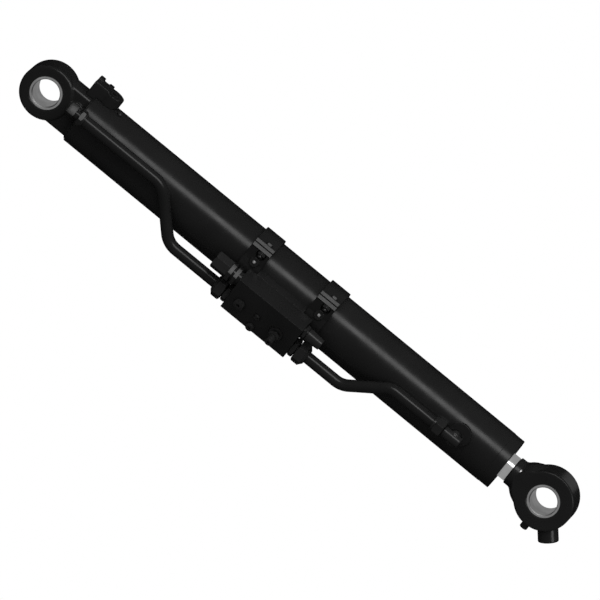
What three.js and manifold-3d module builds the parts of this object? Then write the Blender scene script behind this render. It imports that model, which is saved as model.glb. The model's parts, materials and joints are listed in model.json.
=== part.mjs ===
// A double-acting hydraulic cylinder with a valve block clamped to its barrel.
// Millimetres. +X runs from the base eye to the rod eye, along the cylinder's own axis.
// +Y runs along the pin bores, and +Z is up. The origin is the centre of the base eye's bore.
// "Clock" is the angle of a place round the barrel: 0 faces -Y, and it grows towards -Z.
import * as THREE from "three";
import { mergeVertices } from "three/addons/utils/BufferGeometryUtils.js";
import Module from "manifold-3d";

const wasm = await Module();
wasm.setup();

// ---- driving dimensions ----
const GAP = 0.3; // between pieces that touch or run in one another
const PIN_DISTANCE = 1025; // between the two eyes, fully retracted
const STROKE = 685;
const END_ROOM = 5; // left between the piston and the gland at full stroke
const BORE_R = 40;
const BARREL_R = 47.5;
const ROD_R = 22.5;
const EYE_WIDTH = 50;
const BASE_EYE_R = 45.5;
const BASE_EYE_EDGE = 6; // rounding of the eye's outer edges
const ROD_EYE_R = 49.7;
const ROD_EYE_EDGE = 3.5;
const BUSH_R = 27.5;
const PIN_R = 22.5;
const BUSH_WIDTH = 47;
const NECK_R = 42;
const NECK_WIDTH = 43; // across the flats of the base eye's neck
const BARREL_START = 67;
const BARREL_END = 923;
const CAP_SPIGOT_END = 92;
const BASE_BOSS_END = 31; // the flat top of the boss that the base elbow is screwed into
const PIPE_R = 10;
const PIPE_WALL = 2;
const PIPE_BEND = 34;

// The hydraulic line that leaves the base eye's neck, and the one into the barrel's rod end.
const BASE_LINE = { clock: -17.4, radius: 70, portX: 53 };
const BASE_TURN = -16.6; // how far the elbow's flats and its nut are turned about the pipe
const ROD_LINE = { clock: 1, radius: 62, portX: 851 };
const ROD_BOSS = { clock: -7, x: 855, radius: 19.5, top: 51.5 }; // welded on the barrel at the rod end

// The valve block, seen along its own clock angle: "across" is measured along the barrel's tangent.
const BLOCK = { clock: 25, x0: 430.5, x1: 559.5, inner: 53, outer: 87, up: 27.7, down: 46 };
// The ports in the block's ends.
const PIPE_PORT = { radius: 68, across: 29.8, bore: 8 };
const HOSE_PORT = { radius: 70, across: -12.9, bore: 9 };
const PORT_DEPTH = 16;
const HOSE_BORE_R = 6;
const HEX_TURN = 30; // puts a corner of a hexagon, and not a flat, towards its clock angle
// The open hose unions. Lengths along them are measured from the block's end face.
const HOSE_STUDS = {
  left: { neckR: 11.5, seat: 17.1, hex: 30, hexTurn: 0, hexSpan: [6.9, 11.6] },
  right: { neckR: 10, seat: 8, hex: 22, hexTurn: HEX_TURN, hexSpan: [1.5, 6.5] },
};
const LEFT_UNION = { nut: 30, nutEnd: 22.9, sleeve: 27, end: 53 };
const RIGHT_UNION = { wideR: 11.4, narrowR: 9.2, end: 36 };
const RELIEF = { x: 527.7, across: 14, bore: 10, depth: 28 };
const CHECK = { x: 453, across: 14, bore: 9, depth: 22 };
const THROTTLE = { x: 488, across: 12, bore: 4, depth: 15 };
const GAUGE = { x: 488, across: 37.5, bore: 6, depth: 12 };

const CLAMPS = [
  { side: "left", x: 426.5 },
  { side: "right", x: 559.8 },
];
const CLAMP_WIDTH = 36.5;
const CLAMP_R = 52.5;
const CLAMP_CLOCK = -36; // of the ears on the valve's side
const EAR = { end: 67, gap: 1.5, thick: 6, boltRadius: 60.5, boltShift: 4.5 };
const SADDLE_SCREW = { clock: -14, shift: 2.4, padR: 8 };
const BOLT_R = 4; // of the clamps' bolts and the saddle's screws
const BOLT_HEX = 13;

// The gland, and the seal and the wiper in it.
const GLAND_X = [862, 941.5];
const SEAL_X = [908, 918];
const WIPER_X = [932.5, 940.5];
const BEARING_R = 26;
const GLAND_LIP_R = 47;

// The piston's pieces, retracted.
const NUT_X = [95, 110];
const PISTON_X = [110.3, 155];
const PISTON_NOSE = GLAND_X[0] - STROKE - END_ROOM;
const GROOVE_R = 35;
const SPIGOT_R = 16;
const PISTON_RINGS = {
  piston_wear_ring_back: [114, 122],
  piston_seal: [127, 139],
  piston_wear_ring_front: [144, 152],
};

// The rod eye's neck starts here, on the end of the rod.
const EYE_SEAT_X = 955;
const EYE_SPIGOT = { radius: 15, length: 22 };
const LOCK_BOSS = { angle: 50.5, radius: 16.8, end: 71.5 }; // on the rod eye, below its neck

// The D-shaped block on top of the barrel's base end, and the bleed screw beside it.
const TOP_BLOCK = { x0: 50, headEnd: 79, roundX: 86, round: 18.3, half: 16, top: 64.5, headTop: 67.1 };
const TOP_RIBS = [
  { x0: 50, x1: 59.5, top: 70.4 },
  { x0: 69.5, x1: 78.5, top: 68.7 },
];
const BLEED = { x: 113, clock: -76 };

// The union nuts on the pipes.
const BASE_NUT_X = [65, 75.5];
const ROD_NUT_X = [815, 831];
const BLOCK_NUT = { near: 10, far: 30 }; // from the block's end face to the nut's near and far faces
const STUD_R = 8; // of every port that a pipe fitting is screwed into
const PASSAGE_R = 5; // of the oil's way through a fitting

// Sides of a round body, by size.
const LARGE = 32;
const MEDIUM = 24;
const SMALL = 12;
const TINY = 8;

const HALF_TURN = Math.PI;
const degrees = THREE.MathUtils.degToRad;
const ascending = (a, b) => a - b;

// ---- solids: every helper takes and gives back a BufferGeometry ----
function toSolid(geometry) {
  const bare = geometry.index ? geometry.toNonIndexed() : geometry.clone();
  bare.deleteAttribute("normal");
  bare.deleteAttribute("uv");
  const merged = mergeVertices(bare, 1e-3);
  const triangles = new Uint32Array(merged.index.array);
  const build = () =>
    new wasm.Manifold(
      new wasm.Mesh({
        numProp: 3,
        vertProperties: merged.attributes.position.array,
        triVerts: triangles,
      }),
    );
  const solid = build();
  if (solid.volume() > 0) return solid;
  for (let i = 0; i < triangles.length; i += 3) {
    const second = triangles[i + 1];
    triangles[i + 1] = triangles[i + 2];
    triangles[i + 2] = second;
  }
  return build();
}

function toGeometry(solid) {
  const mesh = solid.getMesh();
  const geometry = new THREE.BufferGeometry();
  geometry.setAttribute("position", new THREE.BufferAttribute(mesh.vertProperties, 3));
  geometry.setIndex(new THREE.BufferAttribute(mesh.triVerts, 1));
  return geometry;
}

function join(first, ...others) {
  return toGeometry(others.reduce((solid, other) => solid.add(toSolid(other)), toSolid(first)));
}

function cut(first, ...others) {
  return toGeometry(others.reduce((solid, other) => solid.subtract(toSolid(other)), toSolid(first)));
}

function common(first, second) {
  return toGeometry(toSolid(first).intersect(toSolid(second)));
}

// A body turned about the X axis from a profile of [x, radius] points.
function turned(profile, sides = MEDIUM) {
  const points = profile.map(([x, radius]) => new THREE.Vector2(Math.max(radius, 0), x));
  return new THREE.LatheGeometry(points, sides).rotateZ(-HALF_TURN / 2);
}

// A plain bar along X.
function bar(radius, x0, x1, sides = SMALL) {
  return turned(
    [
      [x0, 0],
      [x0, radius],
      [x1, radius],
      [x1, 0],
    ],
    sides,
  );
}

// A ring along X.
function ring(outer, inner, x0, x1, sides = MEDIUM) {
  return turned(
    [
      [x0, inner],
      [x0, outer],
      [x1, outer],
      [x1, inner],
      [x0, inner],
    ],
    sides,
  );
}

// A hexagonal bar along X, with a flat towards the side that is 0 on the clock.
function hexBar(acrossFlats, x0, x1) {
  return new THREE.CylinderGeometry(acrossFlats / Math.sqrt(3), acrossFlats / Math.sqrt(3), x1 - x0, 6)
    .rotateZ(-HALF_TURN / 2)
    .translate((x0 + x1) / 2, 0, 0);
}

function box(x0, x1, y0, y1, z0, z1) {
  return new THREE.BoxGeometry(x1 - x0, y1 - y0, z1 - z0).translate(
    (x0 + x1) / 2,
    (y0 + y1) / 2,
    (z0 + z1) / 2,
  );
}

// Turns a body made along X so that it stands on the barrel's radius at x, at 0 on the clock.
function standing(geometry, x, across = 0) {
  return geometry.rotateZ(-HALF_TURN / 2).translate(x, 0, -across);
}

// Moves a body made at 0 on the clock round to its own clock angle.
function atClock(geometry, clock) {
  return geometry.rotateX(degrees(clock));
}

// The place at a radius and a distance across, on a clock angle.
function clockPoint(x, clock, radius, across = 0) {
  return new THREE.Vector3(x, -radius, -across).applyAxisAngle(new THREE.Vector3(1, 0, 0), degrees(clock));
}

// ---- materials ----
const paint = (color, roughness) => new THREE.MeshStandardMaterial({ color, roughness, metalness: 0 });
const metal = (color, roughness) => new THREE.MeshStandardMaterial({ color, roughness, metalness: 1 });
const BLACK = paint(0x1c1c1d, 0.32);
const BLACK_FITTING = paint(0x232324, 0.28);
const STEEL = metal(0x9a9c9e, 0.35);
const CHROME = metal(0xd4d6d8, 0.12);
const BUSH_STEEL = metal(0xa8a8a6, 0.4);
const BRONZE = metal(0xa77b45, 0.4);
const SEAL = paint(0x2a5a46, 0.6);
const RUBBER = paint(0x191919, 0.7);

const cylinder = new THREE.Group();

function add(name, geometry, material) {
  const mesh = new THREE.Mesh(geometry, material);
  mesh.name = name;
  cylinder.add(mesh);
}

// ---- the two eyes ----
// A flat disc with rounded edges, turned about Y, at the origin.
function eyeDisc(radius, edge) {
  const half = EYE_WIDTH / 2;
  const profile = [[-half, 0]];
  const steps = 3;
  for (let i = 0; i <= steps; i++) {
    const angle = (HALF_TURN / 2) * (i / steps);
    profile.push([-half + edge * (1 - Math.cos(angle)), radius - edge * (1 - Math.sin(angle))]);
  }
  const mirrored = profile.map(([x, r]) => [-x, r]).reverse();
  return turned([...profile, ...mirrored], MEDIUM).rotateZ(HALF_TURN / 2);
}

// What is bored out of an eye to take its bush, with a lead-in at both faces.
function bushSeat() {
  const half = EYE_WIDTH / 2;
  const lead = 1.2;
  const r = BUSH_R + GAP;
  return turned(
    [
      [-half - 1, 0],
      [-half - 1, r + lead + 1],
      [-half + lead, r],
      [half - lead, r],
      [half + 1, r + lead + 1],
      [half + 1, 0],
    ],
    MEDIUM,
  ).rotateZ(HALF_TURN / 2);
}

function bush(name, x) {
  const half = BUSH_WIDTH / 2;
  const lead = 1.6;
  const shape = turned(
    [
      [-half, PIN_R + lead],
      [-half, BUSH_R],
      [half, BUSH_R],
      [half, PIN_R + lead],
      [half - lead, PIN_R],
      [-half + lead, PIN_R],
      [-half, PIN_R + lead],
    ],
    MEDIUM,
  );
  add(name, shape.rotateZ(HALF_TURN / 2).translate(x, 0, 0), BUSH_STEEL);
}

function baseCap() {
  const half = NECK_WIDTH / 2;
  const flats = box(-80, 65, -half, half, -60, 60);
  const neck = common(bar(NECK_R, 0, 64, MEDIUM), flats);
  const collar = turned(
    [
      [58, 0],
      [58, 22],
      [62.8, 25],
      [64.8, NECK_R],
      [BARREL_START - GAP, NECK_R],
      [BARREL_START - GAP, BORE_R - GAP],
      [CAP_SPIGOT_END, BORE_R - GAP],
      [CAP_SPIGOT_END, 0],
    ],
    MEDIUM,
  );
  const atBasePort = (shape) => atClock(standing(shape, BASE_LINE.portX), BASE_LINE.clock);
  const stem = atBasePort(bar(STUD_R + GAP, 12, 60, SMALL));
  const crossDrilling = atBasePort(bar(6, 0, 20, TINY));
  const gallery = bar(6, BASE_LINE.portX - 8, CAP_SPIGOT_END + 5, TINY);
  const portBoss = atBasePort(bar(14, 10, BASE_BOSS_END, SMALL));
  const body = join(eyeDisc(BASE_EYE_R, BASE_EYE_EDGE), neck, collar, portBoss);
  add("base_cap", cut(body, bushSeat(), stem, crossDrilling, gallery), BLACK);
}

function barrelTube() {
  const bevel = 1.5;
  const tube = turned(
    [
      [BARREL_START, BORE_R],
      [BARREL_START, BARREL_R - bevel],
      [BARREL_START + bevel, BARREL_R],
      [BARREL_END - bevel, BARREL_R],
      [BARREL_END, BARREL_R - bevel],
      [BARREL_END, BORE_R],
      [BARREL_START, BORE_R],
    ],
    LARGE,
  );
  const rodPort = atClock(standing(bar(STUD_R + GAP, 30, 60, SMALL), ROD_LINE.portX), ROD_LINE.clock);
  const bleedHole = atClock(standing(bar(3, 42, 60, TINY), BLEED.x), BLEED.clock);
  add("barrel_tube", cut(tube, rodPort, bleedHole), BLACK);
}

// ---- the D-shaped block on top of the barrel's base end, with its plugged port ----
function topBlock() {
  const { x0, headEnd, roundX, round, half, top, headTop } = TOP_BLOCK;
  const outline = new THREE.Shape();
  outline.moveTo(x0, -half);
  outline.lineTo(roundX - Math.sqrt(round ** 2 - half ** 2), -half);
  const start = Math.atan2(-half, -Math.sqrt(round ** 2 - half ** 2)) + 2 * HALF_TURN;
  outline.absarc(roundX, 0, round, start, 4 * HALF_TURN - start, false);
  outline.lineTo(x0, half);
  outline.closePath();
  const depth = top - 30;
  const foot = new THREE.ExtrudeGeometry(outline, { depth, bevelEnabled: false, curveSegments: 8 });
  const head = box(x0, headEnd, -half + 0.5, half - 3, top - 1, headTop);
  const ribs = TOP_RIBS.map((rib) => box(rib.x0, rib.x1, 2, half, top - 1, rib.top));
  const body = join(foot.translate(0, 0, 30), head, ...ribs);
  const onNeck = bar(NECK_R + GAP, 0, BARREL_START - GAP, MEDIUM);
  const onBarrel = bar(BARREL_R + GAP, BARREL_START - GAP - 0.1, 130, LARGE);
  const port = bar(STUD_R, 40, 80, SMALL).rotateY(-HALF_TURN / 2).translate(roundX, 0, 0);
  add("base_port_block", cut(body, onNeck, onBarrel, port), BLACK);
}

function topPlug() {
  const { top, roundX } = TOP_BLOCK;
  const plug = cut(bar(STUD_R - GAP, top - 11, top - 0.8, SMALL), hexBar(8, top - 6, top));
  add("base_port_plug", plug.rotateY(-HALF_TURN / 2).translate(roundX, 0, 0), BLACK_FITTING);
}

function bleedScrew() {
  const shank = bar(3 - GAP, 43, BARREL_R + 1, TINY);
  const head = turned(
    [
      [BARREL_R + GAP, 0],
      [BARREL_R + GAP, 4.5],
      [BARREL_R + 3, 4.5],
      [BARREL_R + 4.6, 3],
      [BARREL_R + 4.6, 0],
    ],
    SMALL,
  );
  add("bleed_screw", atClock(standing(join(shank, head), BLEED.x), BLEED.clock), BLACK_FITTING);
}

// ---- the gland and what it holds ----
function gland() {
  const [inner, outer] = GLAND_X;
  const rodHole = ROD_R + 0.8;
  const bearingHole = BEARING_R + GAP;
  const profile = [
    [inner, bearingHole],
    [inner, BORE_R - GAP],
    [BARREL_END + GAP, BORE_R - GAP],
    [BARREL_END + GAP, GLAND_LIP_R - 0.6],
    [BARREL_END + 0.9, GLAND_LIP_R],
    [outer - 1.2, GLAND_LIP_R],
    [outer, GLAND_LIP_R - 1.2],
    [outer, 27 + GAP],
    [WIPER_X[0] - GAP, 27 + GAP],
    [WIPER_X[0] - GAP, rodHole],
    [SEAL_X[1] + GAP, rodHole],
    [SEAL_X[1] + GAP, 28 + GAP],
    [SEAL_X[0] - GAP, 28 + GAP],
    [SEAL_X[0] - GAP, bearingHole],
    [inner, bearingHole],
  ];
  const oRingGroove = ring(60, 37.5, 880, 884, MEDIUM);
  add("gland", cut(turned(profile, MEDIUM), oRingGroove), BLACK);
  add("gland_bearing", ring(BEARING_R, ROD_R + GAP, inner + 1, SEAL_X[0] - 1.5, MEDIUM), BRONZE);
  add("rod_seal", ring(28, ROD_R + GAP, ...SEAL_X, MEDIUM), SEAL);
  add("rod_wiper", ring(27, ROD_R + GAP, ...WIPER_X, MEDIUM), RUBBER);
  add("gland_o_ring", ring(BORE_R - GAP, 37.5 + GAP, 880 + GAP, 884 - GAP, MEDIUM), RUBBER);
}

// ---- the rod, the piston and the rod eye ----
function rod() {
  const profile = [
    [NUT_X[0], 0],
    [NUT_X[0], SPIGOT_R],
    [PISTON_NOSE + GAP, SPIGOT_R],
    [PISTON_NOSE + GAP, ROD_R],
    [EYE_SEAT_X - GAP, ROD_R],
    [EYE_SEAT_X - GAP, EYE_SPIGOT.radius],
    [EYE_SEAT_X + EYE_SPIGOT.length, EYE_SPIGOT.radius],
    [EYE_SEAT_X + EYE_SPIGOT.length, 0],
  ];
  add("piston_rod", turned(profile, MEDIUM), CHROME);
}

function piston() {
  const [back, front] = PISTON_X;
  const face = BORE_R - 0.4;
  const grooves = Object.values(PISTON_RINGS).flatMap(([x0, x1]) => [
    [x0 - GAP, face],
    [x0 - GAP, GROOVE_R],
    [x1 + GAP, GROOVE_R],
    [x1 + GAP, face],
  ]);
  const profile = [
    [back, SPIGOT_R + GAP],
    [back, face],
    ...grooves,
    [front, face],
    [front, 33],
    [PISTON_NOSE, 33],
    [PISTON_NOSE, SPIGOT_R + GAP],
    [back, SPIGOT_R + GAP],
  ];
  add("piston", turned(profile, MEDIUM), STEEL);
  const nut = cut(hexBar(46, ...NUT_X), bar(SPIGOT_R + GAP, NUT_X[0] - 1, NUT_X[1] + 1, MEDIUM));
  add("piston_nut", nut, STEEL);
  for (const [name, span] of Object.entries(PISTON_RINGS)) {
    const material = name === "piston_seal" ? SEAL : BRONZE;
    add(name, ring(BORE_R - GAP, GROOVE_R + GAP, ...span, MEDIUM), material);
  }
}

function rodEye() {
  const neck = turned(
    [
      [EYE_SEAT_X, 0],
      [EYE_SEAT_X, 24.5],
      [EYE_SEAT_X + 0.5, 25],
      [EYE_SEAT_X + 10.5, 25],
      [EYE_SEAT_X + 14, 27],
      [EYE_SEAT_X + 18.5, 31.3],
      [EYE_SEAT_X + 24, 35],
      [EYE_SEAT_X + 34, 39.8],
      [EYE_SEAT_X + 60, 44],
      [EYE_SEAT_X + 60, 0],
    ],
    MEDIUM,
  );
  const half = EYE_WIDTH / 2;
  const flare = common(neck, box(EYE_SEAT_X - 1, PIN_DISTANCE + 1, -half, half, -60, 60));
  const disc = eyeDisc(ROD_EYE_R, ROD_EYE_EDGE).translate(PIN_DISTANCE, 0, 0);
  const boss = turned(
    [
      [30, 0],
      [30, LOCK_BOSS.radius],
      [LOCK_BOSS.end - 1.2, LOCK_BOSS.radius],
      [LOCK_BOSS.end, LOCK_BOSS.radius - 1.2],
      [LOCK_BOSS.end, 0],
    ],
    SMALL,
  );
  const seat = bushSeat().translate(PIN_DISTANCE, 0, 0);
  const spigotEnd = EYE_SEAT_X + EYE_SPIGOT.length + GAP;
  const spigotHole = bar(EYE_SPIGOT.radius + GAP, EYE_SEAT_X - 1, spigotEnd, MEDIUM);
  const nippleHole = bar(4, 30, 60, TINY).rotateY(HALF_TURN / 2).translate(PIN_DISTANCE, 0, 0);
  const lockHole = onEye(bar(5, 20, 80, TINY));
  const body = join(flare, disc, onEye(boss));
  add("rod_eye", cut(body, seat, spigotHole, nippleHole, lockHole), BLACK);
}

// Turns a body made along X onto the radius of the rod eye's pin-lock boss.
function onEye(geometry) {
  return geometry.rotateY(degrees(LOCK_BOSS.angle)).translate(PIN_DISTANCE, 0, 0);
}

function rodEyeFittings() {
  const nipple = join(
    bar(4 - GAP, BUSH_R + 4, ROD_EYE_R + 1, TINY),
    hexBar(12, ROD_EYE_R + GAP, ROD_EYE_R + 6),
    turned(
      [
        [ROD_EYE_R + 5.9, 0],
        [ROD_EYE_R + 5.9, 6.7],
        [ROD_EYE_R + 13.5, 6.7],
        [ROD_EYE_R + 14.5, 5.7],
        [ROD_EYE_R + 14.5, 0],
      ],
      SMALL,
    ),
  );
  add("grease_nipple", nipple.rotateY(HALF_TURN / 2).translate(PIN_DISTANCE, 0, 0), BLACK_FITTING);
  const { end } = LOCK_BOSS;
  const grub = cut(bar(5 - GAP, BUSH_R + 3, end - 4, TINY), hexBar(5, end - 9, end));
  add("pin_lock_screw", onEye(grub), STEEL);
}

// ---- the hydraulic lines ----
// A path of straight runs with an arc of the bend radius at each corner.
function bentPath(corners, bendRadius) {
  const path = new THREE.CurvePath();
  let from = corners[0];
  for (let i = 1; i < corners.length - 1; i++) {
    const before = corners[i - 1].clone().sub(corners[i]).normalize();
    const after = corners[i + 1].clone().sub(corners[i]).normalize();
    const turn = HALF_TURN - before.angleTo(after);
    const setBack = bendRadius * Math.tan(turn / 2);
    const arcStart = corners[i].clone().addScaledVector(before, setBack);
    const arcEnd = corners[i].clone().addScaledVector(after, setBack);
    path.add(new THREE.LineCurve3(from, arcStart));
    path.add(new THREE.QuadraticBezierCurve3(arcStart, corners[i], arcEnd));
    from = arcEnd;
  }
  path.add(new THREE.LineCurve3(from, corners[corners.length - 1]));
  return path;
}

function pipe(name, corners) {
  const section = new THREE.Shape().absarc(0, 0, PIPE_R, 0, 2 * HALF_TURN);
  section.holes.push(new THREE.Path().absarc(0, 0, PIPE_R - PIPE_WALL, 0, 2 * HALF_TURN));
  const extrudePath = bentPath(corners, PIPE_BEND);
  const steps = Math.round(extrudePath.getLength() / 17);
  add(name, new THREE.ExtrudeGeometry(section, { steps, curveSegments: 5, extrudePath }), BLACK);
}

function pipes() {
  const block = (x) => clockPoint(x, BLOCK.clock, PIPE_PORT.radius, PIPE_PORT.across);
  const base = (x) => clockPoint(x, BASE_LINE.clock, BASE_LINE.radius);
  const rodEnd = (x) => clockPoint(x, ROD_LINE.clock, ROD_LINE.radius);
  const leftEnd = BLOCK.x0 - BLOCK_NUT.near - 1;
  const rightEnd = BLOCK.x1 + BLOCK_NUT.near + 1;
  pipe("base_line_pipe", [base(BASE_NUT_X[0] + 3), base(239), block(303), block(leftEnd)]);
  pipe("rod_line_pipe", [block(rightEnd), block(659), rodEnd(726), rodEnd(ROD_NUT_X[1] - 3)]);
}

// A hexagonal union nut round the pipe, from x0 to x1, with a cone from its back face to backX.
function unionNut(name, acrossFlats, x0, x1, backX, placed) {
  const seatX = backX < x0 ? x0 : x1;
  const cone = turned(
    [
      [seatX, 0],
      [seatX, acrossFlats / 2 - 1],
      [backX, PIPE_R + 3],
      [backX, 0],
    ],
    SMALL,
  );
  const hole = bar(PIPE_R + 2 * GAP, Math.min(x0, backX) - 1, Math.max(x1, backX) + 1, SMALL);
  add(name, placed(cut(join(hexBar(acrossFlats, x0, x1), cone), hole)), BLACK_FITTING);
}

// The two ends of the block. "inward" is +1 at the left end and -1 at the right.
const BLOCK_ENDS = [
  { side: "left", endX: BLOCK.x0, inward: 1 },
  { side: "right", endX: BLOCK.x1, inward: -1 },
];

// The two faces of a piece that reaches from one distance to another out of an end of the block.
function outOf({ endX, inward }, near, far) {
  return [endX - inward * near, endX - inward * far].sort(ascending);
}

function onPort(geometry, port) {
  return atClock(geometry.translate(0, -port.radius, -port.across), BLOCK.clock);
}

// A stud adapter and a union nut for the hydraulic line at each end of the block.
function blockPipeFittings() {
  for (const end of BLOCK_ENDS) {
    const stud = join(
      bar(PIPE_PORT.bore - GAP, ...outOf(end, 2 - PORT_DEPTH, GAP + 0.1), SMALL),
      hexBar(30, ...outOf(end, GAP, 9)).rotateX(degrees(HEX_TURN)),
      bar(PIPE_R, ...outOf(end, 8.9, BLOCK_NUT.near), SMALL),
    );
    const bore = bar(PASSAGE_R, ...outOf(end, 1 - PORT_DEPTH, BLOCK_NUT.near + 1), TINY);
    add(`pipe_adapter_${end.side}`, onPort(cut(stud, bore), PIPE_PORT), BLACK_FITTING);
    const faces = outOf(end, BLOCK_NUT.near, BLOCK_NUT.far - 4);
    const placed = (g) => onPort(g.rotateX(degrees(HEX_TURN)), PIPE_PORT);
    unionNut(`pipe_nut_${end.side}`, 36, ...faces, end.endX - end.inward * BLOCK_NUT.far, placed);
  }
}

// The stud of a hose union: a round neck with a hexagonal band, and a nose that the union seats on.
function hoseStud(end) {
  const { neckR, seat, hex, hexTurn, hexSpan } = HOSE_STUDS[end.side];
  const stud = join(
    bar(HOSE_PORT.bore - GAP, ...outOf(end, 2 - PORT_DEPTH, GAP + 0.1), SMALL),
    bar(neckR, ...outOf(end, GAP, seat), SMALL),
    hexBar(hex, ...outOf(end, ...hexSpan)).rotateX(degrees(hexTurn)),
    bar(STUD_R, ...outOf(end, seat - 0.1, seat + 8), SMALL),
  );
  const bore = bar(PASSAGE_R, ...outOf(end, 1 - PORT_DEPTH, seat + 9), TINY);
  add(`hose_adapter_${end.side}`, onPort(cut(stud, bore), HOSE_PORT), BLACK_FITTING);
}

// The bore of a hose union, with the seat for its stud's nose.
function hoseBore(end, to) {
  const { seat } = HOSE_STUDS[end.side];
  return join(
    bar(STUD_R + GAP, ...outOf(end, seat - 1, seat + 8 + GAP), SMALL),
    bar(HOSE_BORE_R, ...outOf(end, seat, to + 1), SMALL),
  );
}

function hoseUnions() {
  const [left, right] = BLOCK_ENDS;
  hoseStud(left);
  hoseStud(right);
  const leftStart = HOSE_STUDS.left.seat + GAP;
  const nutAndSleeve = join(
    hexBar(LEFT_UNION.nut, ...outOf(left, leftStart, LEFT_UNION.nutEnd)),
    hexBar(LEFT_UNION.sleeve, ...outOf(left, leftStart + 1, LEFT_UNION.end)).rotateX(degrees(HEX_TURN)),
  );
  const leftUnion = cut(nutAndSleeve, hoseBore(left, LEFT_UNION.end));
  add("hose_union_left", onPort(leftUnion, HOSE_PORT), BLACK_FITTING);
  const [startX, endX] = outOf(right, HOSE_STUDS.right.seat + GAP, RIGHT_UNION.end);
  const cone = turned(
    [
      [startX, 0],
      [startX, RIGHT_UNION.wideR],
      [endX, RIGHT_UNION.narrowR],
      [endX, 0],
    ],
    SMALL,
  );
  add("hose_union_right", onPort(cut(cone, hoseBore(right, RIGHT_UNION.end)), HOSE_PORT), BLACK_FITTING);
}

function baseElbow() {
  const { clock, radius, portX } = BASE_LINE;
  const turnedFlats = (shape) => shape.rotateX(degrees(BASE_TURN)).translate(0, -radius, 0);
  const body = turnedFlats(box(portX - 6.1, portX + 6.1, -11, 11, -8, 8));
  const stem = standing(bar(STUD_R, 18, radius - 6, SMALL), portX);
  const flange = standing(hexBar(19, BASE_BOSS_END + GAP, BASE_BOSS_END + 7), portX);
  const arm = bar(7.5, portX, BASE_NUT_X[0] + 3.5, SMALL).translate(0, -radius, 0);
  const passage = join(
    standing(bar(PASSAGE_R, 10, radius, TINY), portX),
    bar(PASSAGE_R, portX, 90, TINY).translate(0, -radius, 0),
  );
  add("base_elbow", atClock(cut(join(body, stem, flange, arm), passage), clock), BLACK_FITTING);
  const placed = (g) => atClock(turnedFlats(g), clock);
  unionNut("base_nut", 26, BASE_NUT_X[0] + 3.8, BASE_NUT_X[1], BASE_NUT_X[1] + 3, placed);
}

function rodPort() {
  const { clock, radius, portX } = ROD_LINE;
  const puck = [
    [40, 0],
    [40, ROD_BOSS.radius],
    [ROD_BOSS.top - 1.5, ROD_BOSS.radius],
    [ROD_BOSS.top, ROD_BOSS.radius - 1.5],
    [ROD_BOSS.top, 0],
  ];
  const seatR = 12.3; // of the flat that the elbow stands on
  const boss = cut(
    atClock(standing(turned(puck, MEDIUM), ROD_BOSS.x), ROD_BOSS.clock),
    bar(BARREL_R + GAP, portX - 40, portX + 40, LARGE),
    atClock(standing(bar(STUD_R + GAP, 40, 60, SMALL), portX), clock),
    atClock(standing(bar(seatR, ROD_BOSS.top - 1.5, 60, MEDIUM), portX), clock),
  );
  add("rod_port_boss", boss, BLACK);
  const elbowFoot = ROD_BOSS.top - 1.5 + GAP;
  const knuckle = [
    [elbowFoot, 0],
    [elbowFoot, 12],
    [radius + 6, 12],
    [radius + 9, 10],
    [radius + 10, 7],
    [radius + 10, 0],
  ];
  const body = join(
    standing(turned(knuckle, SMALL), portX),
    standing(bar(STUD_R, 43, 60, SMALL), portX),
    bar(9.5, ROD_NUT_X[1] + GAP, portX, SMALL).translate(0, -radius, 0),
  );
  const passage = join(
    standing(bar(PASSAGE_R, 40, radius, TINY), portX),
    bar(PASSAGE_R, ROD_NUT_X[1] - 5, portX, TINY).translate(0, -radius, 0),
  );
  add("rod_elbow", atClock(cut(body, passage), clock), BLACK_FITTING);
  const placed = (g) => atClock(g.translate(0, -radius, 0), clock);
  unionNut("rod_nut", 27, ROD_NUT_X[0], ROD_NUT_X[1], ROD_NUT_X[0] - 4, placed);
}

// ---- the valve block and what is in it ----
function blockHole(place) {
  const hole = bar(place.bore, BLOCK.outer - place.depth, BLOCK.outer + 1, SMALL);
  return standing(hole, place.x, place.across);
}

function valveBlock() {
  const { x0, x1, inner, outer, up, down, clock } = BLOCK;
  const body = box(x0, x1, -outer, -inner, -down, up);
  const pair = ({ radius, across, bore }) => [
    bar(bore, x0 - 1, x0 + PORT_DEPTH, SMALL).translate(0, -radius, -across),
    bar(bore, x1 - PORT_DEPTH, x1 + 1, SMALL).translate(0, -radius, -across),
  ];
  const holes = [
    ...pair(PIPE_PORT),
    ...pair(HOSE_PORT),
    ...[RELIEF, CHECK, THROTTLE, GAUGE].map(blockHole),
    standing(bar(3, outer - CHECK.depth - 6, outer, TINY), CHECK.x, CHECK.across),
  ];
  add("valve_block", atClock(cut(body, ...holes), clock), BLACK);
}

function blockSaddle() {
  const { inner, up, down, clock } = BLOCK;
  const [left, right] = CLAMPS.map((c) => c.x);
  const half = CLAMP_WIDTH / 2 + GAP;
  const body = box(left + half, right - half, -inner + GAP, -30, -down + GAP, up - GAP);
  add("block_saddle", atClock(cut(body, bar(BARREL_R + GAP, left, right, LARGE)), clock), BLACK);
}

// A helical spring along X.
function spring(radius, wire, x0, x1, turns) {
  class Helix extends THREE.Curve {
    getPoint(t) {
      const angle = 2 * HALF_TURN * turns * t;
      const x = x0 + wire + (x1 - x0 - 2 * wire) * t;
      return new THREE.Vector3(x, radius * Math.cos(angle), radius * Math.sin(angle));
    }
  }
  const section = new THREE.Shape().absarc(0, 0, wire, 0, 2 * HALF_TURN);
  const extrudePath = new Helix();
  return new THREE.ExtrudeGeometry(section, { steps: turns * 8, curveSegments: 2, extrudePath });
}

function inBlock(name, place, geometry, material) {
  add(name, atClock(standing(geometry, place.x, place.across), BLOCK.clock), material);
}

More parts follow.
